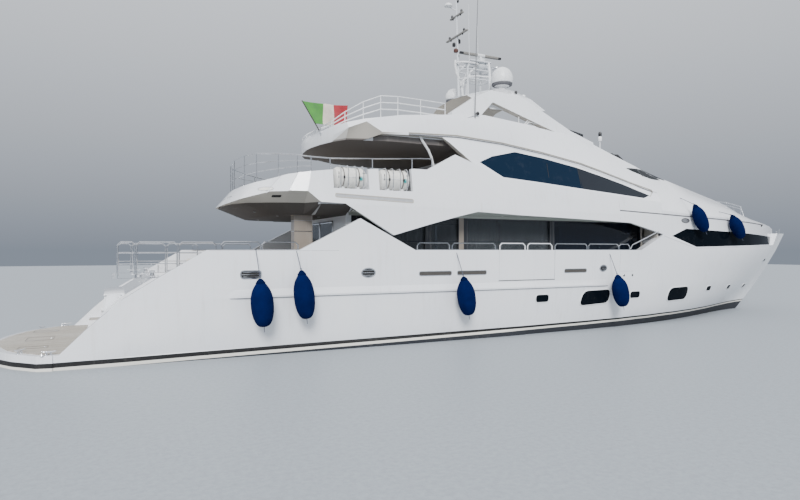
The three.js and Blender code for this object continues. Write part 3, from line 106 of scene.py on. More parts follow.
class Shape:
    """A mesh in the making: its points, its faces and the material that each face takes."""

    def __init__(self, main: Material) -> None:
        """Starts with no points and no faces.

        Args:
            main: The material of faces that are given no other.
        """
        self.main = main
        self.points: list[Vector] = []
        self.faces: list[tuple[int, ...]] = []
        self.finishes: list[Material] = []

    def add(self, points: Iterable[Point], faces: Iterable[Sequence[int]],
            finish: Optional[Material] = None) -> "Shape":
        """Adds points and faces.

        Args:
            points: The new points.
            faces: Faces, numbered from the first new point.
            finish: Their material; the main one if none is given.

        Returns:
            The shape itself.
        """
        base = len(self.points)
        self.points.extend(Vector(point) for point in points)
        for face in faces:
            self.faces.append(tuple(base + k for k in face))
            self.finishes.append(finish or self.main)
        return self

    def bridge(self, rings: Sequence[Sequence[Point]], finish: Optional[Material] = None,
               bands: Sequence[Optional[Material]] = ()) -> "Shape":
        """Joins closed rings of equal length into a closed skin.

        Args:
            rings: The rings, in order.
            finish: Its material; the main one if none is given.
            bands: One material for each band between two rings, where they differ.

        Returns:
            The shape itself.
        """
        count, rows = len(rings[0]), len(rings) - 1
        bands = bands or [finish] * rows
        faces = [tuple(reversed(range(count)))]
        kinds = [bands[0]]
        for row, band in enumerate(bands):
            for k in range(count):
                a, b = row * count + k, row * count + (k + 1) % count
                faces.append((a, b, b + count, a + count))
                kinds.append(band)
        faces.append(tuple(range(rows * count, (rows + 1) * count)))
        kinds.append(bands[-1])
        self.add([point for ring in rings for point in ring], faces)
        self.finishes[-len(kinds):] = [kind or self.main for kind in kinds]
        return self

    def tube(self, path: Sequence[Point], radius: float | Sequence[float], sides: int = 10,
             finish: Optional[Material] = None) -> "Shape":
        """A round bar along a path.

        Args:
            path: The points of its middle line.
            radius: One radius, or one for each point.
            sides: Sides of its section.
            finish: Its material; the main one if none is given.

        Returns:
            The shape itself.
        """
        line = [Vector(point) for point in path]
        radii = list(radius) if isinstance(radius, (list, tuple)) else [radius] * len(line)
        last = len(line) - 1
        headings = [(line[min(k + 1, last)] - line[max(k - 1, 0)]).normalized() for k in range(last + 1)]
        across = headings[0].orthogonal().normalized()
        rings = []
        for point, heading, wide in zip(line, headings, radii):
            across = (across - heading * across.dot(heading)).normalized()
            other = heading.cross(across)
            rings.append([
                point + wide * (across * math.cos(turn) + other * math.sin(turn))
                for turn in turns(sides)
            ])
        return self.bridge(rings, finish)

    def hoop(self, path: Sequence[Point], radius: float, sides: int = 10,
             finish: Optional[Material] = None) -> "Shape":
        """A round bar along a closed path."""
        return self.tube([*path, path[0]], radius, sides, finish)

    def lathe(self, profile: Profile, foot: Point, axis: Point = (0, 0, 1), sides: int = 32,
              finish: Optional[Material] = None) -> "Shape":
        """A turned form.

        Args:
            profile: Pairs of radius and distance along the axis.
            foot: Where the axis starts.
            axis: Its direction.
            sides: Sides of each ring.
            finish: Its material; the main one if none is given.

        Returns:
            The shape itself.
        """
        heading = Vector(axis).normalized()
        across = heading.orthogonal().normalized()
        other = heading.cross(across)
        rings = [
            [
                Vector(foot) + heading * reach
                + max(wide, 0.0005) * (across * math.cos(turn) + other * math.sin(turn))
                for turn in turns(sides)
            ]
            for wide, reach in profile
        ]
        return self.bridge(rings, finish)

    def block(self, low: Point, high: Point, round_by: float = 0.01,
              finish: Optional[Material] = None) -> "Shape":
        """A box with rounded edges.

        Args:
            low: Its lowest corner.
            high: Its highest corner.
            round_by: Radius of the edges.
            finish: Its material; the main one if none is given.

        Returns:
            The shape itself.
        """
        made = bmesh.new()
        middle, size = (Vector(low) + Vector(high)) / 2, Vector(high) - Vector(low)
        bmesh.ops.create_cube(made, size=1.0, matrix=Matrix.Translation(middle) @ Matrix.Diagonal((*size, 1)))
        radius = min(round_by, 0.45 * min(size))
        bmesh.ops.bevel(made, geom=made.edges[:], offset=radius, segments=2, profile=0.6, affect="EDGES")
        return self.take(made, finish)

    def take(self, made: bmesh.types.BMesh, finish: Optional[Material] = None) -> "Shape":
        """Adds what a bmesh holds and frees it.

        Args:
            made: The bmesh.
            finish: Its material; the main one if none is given.

        Returns:
            The shape itself.
        """
        made.verts.index_update()
        self.add([v.co.copy() for v in made.verts], [[v.index for v in f.verts] for f in made.faces], finish)
        made.free()
        return self

    def prism(self, outline: Sequence[Point], axis: str, low: float, high: float, round_by: float = 0.0,
              finish: Optional[Material] = None) -> "Shape":
        """A slab with the given outline.

        Args:
            outline: Points in the plane across the axis, in the order of the other two axes.
            axis: The axis that the slab is thick along: x, y or z.
            low: Its lower face.
            high: Its upper face.
            round_by: Radius of its rounded edges.
            finish: Its material; the main one if none is given.

        Returns:
            The shape itself.
        """
        def spot(a: float, b: float, c: float) -> Vector:
            """A point from its outline's pair and its place along the axis."""
            return {"x": Vector((c, a, b)), "y": Vector((a, c, b)), "z": Vector((a, b, c))}[axis]

        made = bmesh.new()
        lower = [made.verts.new(spot(a, b, low)) for a, b in outline]
        upper = [made.verts.new(spot(a, b, high)) for a, b in outline]
        made.faces.new(lower)
        made.faces.new(list(reversed(upper)))
        for k in range(len(outline)):
            follow = (k + 1) % len(outline)
            made.faces.new((lower[k], upper[k], upper[follow], lower[follow]))
        bmesh.ops.recalc_face_normals(made, faces=made.faces[:])
        if round_by > 0:
            rims = [e for e in made.edges if e.calc_face_angle(0) > math.radians(30)]
            bmesh.ops.bevel(made, geom=rims, offset=round_by, segments=2, profile=0.6, affect="EDGES")
        return self.take(made, finish)

    def cushion(self, low: Point, high: Point, crown: float = 0.03) -> "Shape":
        """A padded block of the main material with soft edges, a crowned top and faint creases.

        Args:
            low: Its lowest corner.
            high: Its highest corner, without the crown.
            crown: How far its top swells.

        Returns:
            The shape itself.
        """
        middle, half = (Vector(low) + Vector(high)) / 2, (Vector(high) - Vector(low)) / 2
        radius = 0.42 * min(half)
        made = bmesh.new()
        bmesh.ops.create_cube(made, size=2.0)
        bmesh.ops.subdivide_edges(made, edges=made.edges[:], cuts=9, use_grid_fill=True)
        for vert in made.verts:
            share = Vector([math.sin(0.5 * math.pi * part) for part in vert.co])
            spot = Vector([part * size for part, size in zip(share, half)])
            core = Vector([max(-size + radius, min(size - radius, part)) for part, size in zip(spot, half)])
            out = spot - core
            spot = core + out.normalized() * radius if out.length > 1e-6 else core
            swell = (1 - share.x ** 2) * (1 - share.y ** 2)
            crease = noise.noise((middle + spot) * 5.0) * 0.12 * crown
            spot.z += (crown * swell + crease) * max(0.0, share.z)
            spot.x += 0.2 * crown * (1 - share.z ** 2) * (1 - share.y ** 2) * share.x
            spot.y += 0.2 * crown * (1 - share.z ** 2) * (1 - share.x ** 2) * share.y
            vert.co = middle + spot
        return self.take(made)

    def mirrored(self) -> "Shape":
        """The same shape on the other side of the boat."""
        other = Shape(self.main)
        other.points = [Vector((p.x, -p.y, p.z)) for p in self.points]
        other.faces = [tuple(reversed(face)) for face in self.faces]
        other.finishes = list(self.finishes)
        return other

    def on(self, side: Side) -> "Shape":
        """The shape, made for starboard, as it stands on a side."""
        return self if side is Side.STARBOARD else self.mirrored()

    def join(self, other: "Shape") -> "Shape":
        """Takes in another shape with its finishes."""
        base = len(self.points)
        self.points.extend(other.points)
        self.faces.extend(tuple(base + k for k in face) for face in other.faces)
        self.finishes.extend(other.finishes)
        return self

    def piece(self, name: str, body: str = YACHT, slot: str = "", stands_for: Sequence[str] = (),
              smooth_below: float = 35.0) -> bpy.types.Object:
        """Makes the object and lets it ride on its body.

        Args:
            name: The piece's name.
            body: The body that it rides on.
            slot: Not used.
            stands_for: The solids that it stands for.
            smooth_below: Edges flatter than this many degrees are shaded smooth.

        Returns:
            The object.
        """
        mesh = bpy.data.meshes.new(name)
        mesh.from_pydata([tuple(point) for point in self.points], [], self.faces)
        places = {material: place for place, material in enumerate(dict.fromkeys(self.finishes))}
        for material in places:
            mesh.materials.append(material)
        mesh.polygons.foreach_set("material_index", [places[material] for material in self.finishes])
        tidy = bmesh.new()
        tidy.from_mesh(mesh)
        bmesh.ops.recalc_face_normals(tidy, faces=tidy.faces[:])
        tidy.to_mesh(mesh)
        tidy.free()
        mesh.shade_smooth()
        mesh.set_sharp_from_angle(angle=math.radians(smooth_below))
        made = bpy.data.objects.new(name, mesh)
        bpy.context.scene.collection.objects.link(made)
        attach(made, body)
        if stands_for:
            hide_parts(*stands_for)
        LOG.info("piece %s: %d faces", name, len(self.faces))
        return made


class Skin:
    """The outer face of one or more solids, for pieces that lie on it."""

    def __init__(self, *nodes: str) -> None:
        """Reads the solids' faces.

        Args:
            nodes: Names of the solids.
        """
        points: list[Vector] = []
        faces: list[list[int]] = []
        for node in nodes:
            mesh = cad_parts[node].data
            base = len(points)
            points.extend(v.co.copy() for v in mesh.vertices)
            faces.extend([base + k for k in polygon.vertices] for polygon in mesh.polygons)
        self.tree = BVHTree.FromPolygons(points, faces)

    def beside(self, x: float, z: float, side: Side) -> Vector:
        """The outermost point of the skin at a place along the boat.

        Args:
            x: Place along the boat.
            z: Height.
            side: The side that is looked at.

        Returns:
            The point on the skin.
        """
        start = Vector((x, side.value * 8.0, z))
        hit = self.tree.ray_cast(start, Vector((0, -side.value, 0)))[0]
        if hit is None:
            hit = self.tree.find_nearest(Vector((x, side.value * 3.0, z)))[0]
        return hit

    def below(self, x: float, y: float, start: float) -> Vector:
        """The lowest point of the skin above a start, at a place in plan."""
        hit = self.tree.ray_cast(Vector((x, y, start)), Vector((0, 0, 1)))[0]
        return hit if hit is not None else Vector((x, y, start))

    def above(self, x: float, y: float, start: float = 20.0) -> Vector:
        """The highest point of the skin below a start, at a place in plan."""
        hit = self.tree.ray_cast(Vector((x, y, start)), Vector((0, 0, -1)))[0]
        return hit if hit is not None else Vector((x, y, 0.0))


def rounded(outline: Sequence[Point], radius: float, steps: int = 4) -> list[tuple[float, float]]:
    """An outline with its corners rounded.

    Args:
        outline: Corners as pairs.
        radius: How far each rounding reaches along the sides.
        steps: Steps of each rounding.

    Returns:
        The points of the new outline.
    """
    made = []
    for k, corner in enumerate(outline):
        here = Vector(corner)
        before, after = Vector(outline[k - 1]) - here, Vector(outline[(k + 1) % len(outline)]) - here
        reach = min(radius, 0.45 * before.length, 0.45 * after.length)
        start, end = here + before.normalized() * reach, here + after.normalized() * reach
        for step in range(steps + 1):
            share = step / steps
            spot = (1 - share) ** 2 * start + 2 * share * (1 - share) * here + share ** 2 * end
            made.append((spot.x, spot.y))
    return made


def turns(count: int) -> list[float]:
    """Angles at equal steps round a circle."""
    return [2 * math.pi * k / count for k in range(count)]


def oval(x: float, z: float, half_x: float, half_z: float, count: int) -> list[tuple[float, float]]:
    """Points of an oval round a middle."""
    return [(x + half_x * math.cos(turn), z + half_z * math.sin(turn)) for turn in turns(count)]


def rectangle(x0: float, x1: float, z0: float, z1: float) -> list[tuple[float, float]]:
    """The four corners between two pairs of edges."""
    return [(x0, z0), (x1, z0), (x1, z1), (x0, z1)]


def bar(x0: float, x1: float, z0: float, z1: float) -> list[tuple[float, float]]:
    """A long outline with round ends."""
    return rounded(rectangle(x0, x1, z0, z1), 0.5 * (z1 - z0))


def grid(columns: int, rows: int) -> list[tuple[int, int, int, int]]:
    """Faces of a sheet whose points are listed row by row."""
    wide = columns + 1
    return [(row * wide + k, row * wide + k + 1, (row + 1) * wide + k + 1, (row + 1) * wide + k)
            for row in range(rows) for k in range(columns)]


def dense(outline: Sequence[Point], spacing: float) -> list[Vector]:
    """A closed outline with points added to its long sides.

    Args:
        outline: Its corners.
        spacing: The greatest distance between points, near enough.

    Returns:
        The points.
    """
    made = []
    for k, corner in enumerate(outline):
        start, end = Vector(corner), Vector(outline[(k + 1) % len(outline)])
        count = max(1, round((end - start).length / spacing))
        made.extend(start.lerp(end, step / count) for step in range(count))
    return made


def inset(outline: Sequence[Point], distance: float) -> list[Vector]:
    """An outline moved inwards along its corners' bisectors.

    Args:
        outline: Its points.
        distance: How far they move.

    Returns:
        The points in their new places.
    """
    made = []
    turn = sum(Vector(outline[k - 1]).cross(Vector(point)) for k, point in enumerate(outline))
    for k, corner in enumerate(outline):
        here = Vector(corner)
        before = (here - Vector(outline[k - 1])).normalized()
        after = (Vector(outline[(k + 1) % len(outline)]) - here).normalized()
        normal = Vector((-(before.y + after.y), before.x + after.x)).normalized() * math.copysign(1, turn)
        made.append(here + normal * distance)
    return made


def inlay(shape: Shape, skin: Skin, outline: Sequence[Point], side: Side, pane: Material, border: float = 0.0,
          proud: float = 0.006, frame_paint: Optional[Material] = None) -> None:
    """Lays a thin plate on the skin: a border of one material round a pane of another.

    Args:
        shape: The shape that takes it.
        skin: What it lies on.
        outline: Its outline as pairs of x and z.
        side: The side of the boat.
        pane: The pane's material.
        border: Width of the border, or 0 for none.
        proud: How far it stands out.
        frame_paint: The border's material; the shape's main one if none is given.
    """
    middle = sum((Vector(point) for point in outline), Vector((0, 0))) / len(outline)
    outline = dense(outline, 0.12)

    def ring(shrink: float, out: float, share: float = 1.0) -> list[Vector]:
        """The outline moved in by a distance, drawn to a share of its size and set out from the skin."""
        made = []
        for spot in inset(outline, shrink):
            spot = middle + (spot - middle) * share
            made.append(skin.beside(spot.x, spot.y, side) + Vector((0, side.value * out, 0)))
        return made

    sunk, shares = 0.01, (0.04, 0.25, 0.5, 0.75)
    rings = [ring(border + 0.003, -sunk, share) for share in shares]
    rings += [ring(0, -sunk), ring(0, 0.6 * proud), ring(0.25 * proud + 0.001, proud)]
    depth = proud
    if border > 0:
        depth = 0.4 * proud
        rings += [ring(border, proud), ring(border + 0.002, depth)]
    rim = [frame_paint if border > 0 else pane] * (len(rings) - 1)
    rings += [ring(border + 0.003, depth, share) for share in reversed(shares)]
    shape.bridge(rings, bands=[*rim, *[pane] * len(shares)])


# Shading


class Graph:
    """Adds nodes to one tree and links them."""

    def __init__(self, tree: bpy.types.NodeTree) -> None:
        """Works on a tree.

        Args:
            tree: The tree.
        """
        self.tree = tree

    def node(self, kind: str, settings: Optional[dict] = None, **inputs: object) -> bpy.types.Node:
        """Adds a node.

        Args:
            kind: Its type.
            settings: Its settings by name.
            inputs: Values or sockets for its inputs; an underscore stands for a space.

        Returns:
            The node.
        """
        made = self.tree.nodes.new(kind)
        for name, value in (settings or {}).items():
            setattr(made, name, value)
        for name, value in inputs.items():
            self.feed(made.inputs[name.replace("_", " ")], value)
        return made

    def feed(self, socket: Socket, value: object) -> None:
        """Sets an input to a value or links it to a socket."""
        if isinstance(value, bpy.types.NodeSocket):
            self.tree.links.new(value, socket)
        else:
            socket.default_value = value

    def math(self, operation: str, *values: object, clamp: bool = False) -> Socket:
        """A math node's result.

        Args:
            operation: The operation.
            values: Its values or sockets.
            clamp: Whether the result is kept from 0 to 1.

        Returns:
            The result.
        """
        made = self.tree.nodes.new("ShaderNodeMath")
        made.operation = operation
        made.use_clamp = clamp
        for socket, value in zip(made.inputs, values):
            self.feed(socket, value)
        return made.outputs[0]

    def place(self, scale: Point = (1, 1, 1)) -> Socket:
        """The object's own coordinates, stretched."""
        spot = self.tree.nodes.new("ShaderNodeTexCoord").outputs["Object"]
        return self.stretched(spot, scale)

    def stretched(self, vector: Socket, scale: Point) -> Socket:
        """A vector with each part multiplied.

        Args:
            vector: The vector.
            scale: A factor for each part.

        Returns:
            The new vector.
        """
        made = self.node("ShaderNodeVectorMath", {"operation": "MULTIPLY"})
        self.feed(made.inputs[0], vector)
        made.inputs[1].default_value = scale
        return made.outputs[0]

    def split(self, vector: Socket) -> tuple[Socket, Socket, Socket]:
        """The three parts of a vector."""
        made = self.node("ShaderNodeSeparateXYZ", Vector=vector)
        return made.outputs[0], made.outputs[1], made.outputs[2]

    def noise(self, vector: Socket, scale: float, detail: float = 3.0, rough: float = 0.5) -> Socket:
        """Noise from 0 to 1."""
        made = self.node("ShaderNodeTexNoise", Vector=vector, Scale=scale, Detail=detail, Roughness=rough)
        return made.outputs[0]

    def span(self, value: Socket, low: float, high: float, to_low: float = 0.0,
             to_high: float = 1.0) -> Socket:
        """A value mapped from one range to another and kept in it.

        Args:
            value: The value.
            low: Where its range starts.
            high: Where its range ends.
            to_low: What the start becomes.
            to_high: What the end becomes.

        Returns:
            The new value.
        """
        made = self.node("ShaderNodeMapRange", Value=value)
        for socket, number in zip(list(made.inputs)[1:5], (low, high, to_low, to_high)):
            socket.default_value = number
        return made.outputs[0]

    def blend(self, share: object, first: object, second: object, how: str = "MIX") -> Socket:
        """Two colours mixed.

        Args:
            share: How much of the second.
            first: The first colour.
            second: The second colour.
            how: The way of mixing.

        Returns:
            The colour.
        """
        made = self.node("ShaderNodeMix", {"data_type": "RGBA", "blend_type": how})
        factor, a, b = made.inputs[0], made.inputs[6], made.inputs[7]
        self.feed(factor, share)
        self.feed(a, first if isinstance(first, bpy.types.NodeSocket) else (*first, 1))
        self.feed(b, second if isinstance(second, bpy.types.NodeSocket) else (*second, 1))
        return made.outputs[2]

    def bump(self, height: Socket, distance: float, strength: float = 1.0) -> Socket:
        """A normal from a height in metres of distance."""
        return self.node("ShaderNodeBump", Height=height, Distance=distance, Strength=strength).outputs[0]

    def use(self, group: bpy.types.NodeTree, **inputs: object) -> bpy.types.Node:
        """Places a shared effect with its own values."""
        return self.node("ShaderNodeGroup", {"node_tree": group}, **inputs)


def effect(name: str, inputs: Sequence[tuple[str, str, object]], outputs: Sequence[str],
           draw: Callable[[Graph, dict[str, Socket]], dict[str, Socket]]) -> bpy.types.NodeTree:
    """Builds a shared shader effect once.

    Args:
        name: The effect's name.
        inputs: Name, kind and value of each input.
        outputs: Name of each output, a number.
        draw: Adds the nodes; takes the graph and the inputs and returns the outputs.

    Returns:
        The node group.
    """
    tree = bpy.data.node_groups.new(name, "ShaderNodeTree")
    for label, kind, value in inputs:
        socket = tree.interface.new_socket(name=label, in_out="INPUT", socket_type="NodeSocket" + kind)
        if value is not None:
            socket.default_value = value
    for label in outputs:
        tree.interface.new_socket(name=label, in_out="OUTPUT", socket_type="NodeSocketFloat")
    graph = Graph(tree)
    entry = tree.nodes.new("NodeGroupInput")
    leave = tree.nodes.new("NodeGroupOutput")
    made = draw(graph, {label: entry.outputs[label] for label, _, _ in inputs})
    for label, socket in made.items():
        tree.links.new(socket, leave.inputs[label])
    return tree


def draw_weathering(graph: Graph, given: dict[str, Socket]) -> dict[str, Socket]:
    """Rain streaks, soft stains and the slight waviness of a laid-up shell.

    Args:
        graph: The effect's graph.
        given: Its inputs by name.

    Returns:
        Its outputs by name.
    """
    streaks = graph.noise(graph.stretched(given["Vector"], (3.0, 3.0, 0.22)), 2.2, 5.0, 0.6)
    stains = graph.noise(given["Vector"], 0.7, 4.0, 0.55)
    grime = graph.math("MULTIPLY", graph.span(streaks, 0.52, 0.78), graph.span(stains, 0.35, 0.7))
    facing = graph.split(graph.tree.nodes.new("ShaderNodeNewGeometry").outputs["Normal"])[2]
    dust = graph.math("MULTIPLY", graph.span(facing, 0.5, 0.95), graph.span(stains, 0.4, 0.65, 0.0, 0.35))
    total = graph.math("ADD", grime, dust, clamp=True)
    wave = graph.noise(given["Vector"], 1.3, 2.0, 0.4)
    grain = graph.noise(given["Vector"], 240.0, 1.0, 0.5)
    height = graph.math("ADD", graph.math("MULTIPLY", wave, 1.0), graph.math("MULTIPLY", grain, 0.02))
    return {"Grime": graph.math("MULTIPLY", total, given["Amount"]), "Stain": stains, "Height": height}


def draw_planking(graph: Graph, given: dict[str, Socket]) -> dict[str, Socket]:
    """Planks along the boat with dark seams, each of its own tone, with grain.

    Args:
        graph: The effect's graph.
        given: Its inputs by name.

    Returns:
        Its outputs by name.
    """
    x, y, _ = graph.split(given["Vector"])
    across = graph.math("DIVIDE", y, given["Width"])
    number = graph.math("FLOOR", across)
    inside = graph.math("ABSOLUTE", graph.math("SUBTRACT", graph.math("FRACT", across), 0.5))
    seam = graph.span(inside, 0.43, 0.455)

    def tone_of(number: Socket) -> Socket:
        """A random tone from a whole number."""
        return graph.node("ShaderNodeTexWhiteNoise", {"noise_dimensions": "1D"}, W=number).outputs[0]

    shift = tone_of(number)
    along = graph.math("ADD", graph.math("DIVIDE", x, given["Length"]), graph.math("MULTIPLY", shift, 7.0))
    end = graph.math("ABSOLUTE", graph.math("SUBTRACT", graph.math("FRACT", along), 0.5))
    butt = graph.span(end, 0.4985, 0.4993)
    own = graph.math("ADD", number, graph.math("MULTIPLY", graph.math("FLOOR", along), 13.7))
    tone = tone_of(own)
    grain = graph.noise(graph.stretched(given["Vector"], (2.5, 70.0, 70.0)), 1.0, 5.0, 0.65)
    gap = graph.math("MAXIMUM", seam, butt)
    height = graph.math("SUBTRACT", graph.math("MULTIPLY", grain, 0.4), gap)
    return {"Seam": gap, "Tone": tone, "Grain": grain, "Height": height}


def draw_weave(graph: Graph, given: dict[str, Socket]) -> dict[str, Socket]:
    """Crossing threads of a cloth with a soft change of tone.

    Args:
        graph: The effect's graph.
        given: Its inputs by name.

    Returns:
        Its outputs by name.
    """
    x, y, z = graph.split(given["Vector"])
    turn = graph.math("MULTIPLY", given["Threads"], 2 * math.pi)

    def threads(part: Socket) -> Socket:
        """The rise and fall of threads across one direction."""
        return graph.math("SINE", graph.math("MULTIPLY", part, turn))

    warp = graph.math("MULTIPLY", threads(graph.math("ADD", x, graph.math("MULTIPLY", y, 0.35))), 0.5)
    weft = graph.math("MULTIPLY", threads(graph.math("ADD", z, graph.math("MULTIPLY", y, 0.65))), 0.5)
    fuzz = graph.noise(given["Vector"], 60.0, 4.0, 0.7)
    tone = graph.noise(given["Vector"], 3.0, 4.0, 0.6)
    height = graph.math("ADD", graph.math("MULTIPLY", graph.math("ADD", warp, weft), 0.6), fuzz)
    return {"Height": height, "Tone": tone, "Fuzz": fuzz}


def draw_room(graph: Graph, given: dict[str, Socket]) -> dict[str, Socket]:
    """One inside a box and nothing outside it.

    Args:
        graph: The effect's graph.
        given: Its inputs by name.

    Returns:
        Its outputs by name.
    """
    share = None
    for corner, way in (("Low", 1.0), ("High", -1.0)):
        offset = graph.node("ShaderNodeVectorMath", {"operation": "SUBTRACT"})
        graph.feed(offset.inputs[0], given["Vector"])
        graph.feed(offset.inputs[1], given[corner])
        for part in graph.split(offset.outputs[0]):
            inside = graph.math("GREATER_THAN", graph.math("MULTIPLY", part, way), 0.0)
            share = inside if share is None else graph.math("MULTIPLY", share, inside)
    return {"Inside": share}


VECTOR_IN = ("Vector", "Vector", None)
ROOM = effect("room", [VECTOR_IN, ("Low", "Vector", None), ("High", "Vector", None)], ["Inside"], draw_room)
WEATHERING = effect("weathering", [VECTOR_IN, ("Amount", "Float", 0.5)], ["Grime", "Stain", "Height"],
                    draw_weathering)
PLANKING = effect("planking", [VECTOR_IN, ("Width", "Float", 0.07), ("Length", "Float", 2.6)],
                  ["Seam", "Tone", "Grain", "Height"], draw_planking)
WEAVE = effect("weave", [VECTOR_IN, ("Threads", "Float", 300.0)], ["Height", "Tone", "Fuzz"], draw_weave)


@dataclass(frozen=True)
class Finish:
    """What every finish shares: a name, a colour and the shader's plain values."""

    name: str
    colour: Colour
    roughness: float = 0.5
    metallic: float = 0.0
    coat: float = 0.0
    coat_roughness: float = 0.05
    specular: float = 0.5

    def start(self) -> tuple[bpy.types.Material, Graph, bpy.types.Node]:
        """A new material with its shader.

        Returns:
            The material, its graph and its shader.
        """
        material = bpy.data.materials.new(self.name)
        material.use_nodes = True
        shader = material.node_tree.nodes["Principled BSDF"]
        shader.inputs["Base Color"].default_value = (*self.colour, 1)
        shader.inputs["Roughness"].default_value = self.roughness
        shader.inputs["Metallic"].default_value = self.metallic
        shader.inputs["Coat Weight"].default_value = self.coat
        shader.inputs["Coat Roughness"].default_value = self.coat_roughness
        shader.inputs["Specular IOR Level"].default_value = self.specular
        material.diffuse_color = (*self.colour, 1)
        return material, Graph(material.node_tree), shader

    def build(self) -> bpy.types.Material:
        """The plain moulded finish: a slight change of tone, gloss and surface.

        Returns:
            The material.
        """
        material, graph, shader = self.start()
        spot = graph.place()
        tone = graph.noise(spot, 9.0, 4.0, 0.6)
        darker = tuple(0.82 * part for part in self.colour)
        colour = graph.blend(graph.span(tone, 0.35, 0.75), self.colour, darker)
        graph.feed(shader.inputs["Base Color"], colour)
        gloss = graph.noise(spot, 30.0, 3.0)
        rough = graph.span(gloss, 0.3, 0.7, self.roughness * 0.85, self.roughness * 1.2)
        graph.feed(shader.inputs["Roughness"], rough)
        graph.feed(shader.inputs["Normal"], graph.bump(graph.noise(spot, 180.0, 2.0), 0.0006, 0.5))
        return material


@dataclass(frozen=True)
class Gelcoat(Finish):
    """White gelcoat with rain streaks.

    Faces that look down take a painted shade, and whole rooms are painted, between a lowest and a
    highest corner. Stripes lie below a height at x = 0 that rises by a share of x.
    """

    grime: float = 0.5
    grime_colour: Colour = (0.50, 0.48, 0.44)
    shaded_undersides: Sequence[tuple[Point, Point, Colour]] = ()
    stripes: Sequence[tuple[float, float, Colour]] = ()
    rooms: Sequence[tuple[Point, Point, Colour]] = ()

    def build(self) -> bpy.types.Material:
        """Builds the material.

        Returns:
            The material.
        """
        material, graph, shader = self.start()
        spot = graph.place()
        worn = graph.use(WEATHERING, Vector=spot, Amount=self.grime)
        tint = tuple(part * factor for part, factor in zip(self.colour, (0.955, 0.965, 0.985)))
        colour = graph.blend(graph.span(worn.outputs["Stain"], 0.3, 0.7), self.colour, tint)
        x, _, z = graph.split(spot)
        shaded = None

        def shade(below: Socket, before: Optional[Socket]) -> Socket:
            """The share of the surface that is painted over so far."""
            return below if before is None else graph.math("MAXIMUM", before, below)

        # Painted shade: faces that look down inside each box take that box's darker colour.
        if self.shaded_undersides:
            facing = graph.split(graph.tree.nodes.new("ShaderNodeNewGeometry").outputs["True Normal"])[2]
            down = graph.span(facing, -0.28, -0.38)
            for low, high, paint in self.shaded_undersides:
                inside = graph.use(ROOM, Vector=spot, Low=low, High=high).outputs["Inside"]
                below = graph.math("MULTIPLY", inside, down)
                colour = graph.blend(below, colour, paint)
                shaded = shade(below, shaded)
        for foot, rise, paint in self.stripes:
            edge = graph.math("ADD", graph.math("MULTIPLY", x, rise), foot)
            below = graph.span(graph.math("SUBTRACT", z, edge), 0.002, -0.002)
            colour = graph.blend(below, colour, paint)
            shaded = shade(below, shaded)
        for low, high, paint in self.rooms:
            inside = graph.use(ROOM, Vector=spot, Low=low, High=high).outputs["Inside"]
            colour = graph.blend(inside, colour, paint)
        grime = worn.outputs["Grime"]
        if shaded is not None:
            clean = graph.math("SUBTRACT", 1.0, graph.math("MULTIPLY", shaded, 0.8))
            grime = graph.math("MULTIPLY", grime, clean)
        colour = graph.blend(grime, colour, self.grime_colour)
        graph.feed(shader.inputs["Base Color"], colour)
        rough = graph.math("ADD", graph.math("MULTIPLY", worn.outputs["Grime"], 0.35), self.roughness)
        if shaded is not None:
            rough = graph.math("ADD", rough, graph.math("MULTIPLY", shaded, 0.6))
            bare = graph.math("SUBTRACT", 1.0, shaded)
            graph.feed(shader.inputs["Coat Weight"], graph.math("MULTIPLY", bare, self.coat))
        graph.feed(shader.inputs["Roughness"], rough)
        graph.feed(shader.inputs["Normal"], graph.bump(worn.outputs["Height"], 0.004, 0.35))
        return material


@dataclass(frozen=True)
class Planks(Finish):
    """Laid planks with caulked seams."""

    width: float = 0.07
    length: float = 2.6
    other: Colour = (0.30, 0.27, 0.22)
    seam: Colour = (0.03, 0.03, 0.03)
    bleached: Colour = (0.46, 0.45, 0.43)

    def build(self) -> bpy.types.Material:
        """Builds the material.

        Returns:
            The material.
        """
        material, graph, shader = self.start()
        spot = graph.place()
        laid = graph.use(PLANKING, Vector=spot, Width=self.width, Length=self.length)
        colour = graph.blend(laid.outputs["Tone"], self.colour, self.other)
        colour = graph.blend(graph.span(laid.outputs["Grain"], 0.35, 0.75, 0.0, 0.5), colour, self.other)
        grey = graph.span(graph.noise(spot, 0.9, 4.0), 0.4, 0.7, 0.0, 0.35)
        colour = graph.blend(grey, colour, self.bleached)
        colour = graph.blend(laid.outputs["Seam"], colour, self.seam)
        graph.feed(shader.inputs["Base Color"], colour)
        graph.feed(shader.inputs["Roughness"], graph.span(laid.outputs["Grain"], 0.3, 0.7, 0.55, 0.8))
        graph.feed(shader.inputs["Normal"], graph.bump(laid.outputs["Height"], 0.0015, 0.8))
        return material


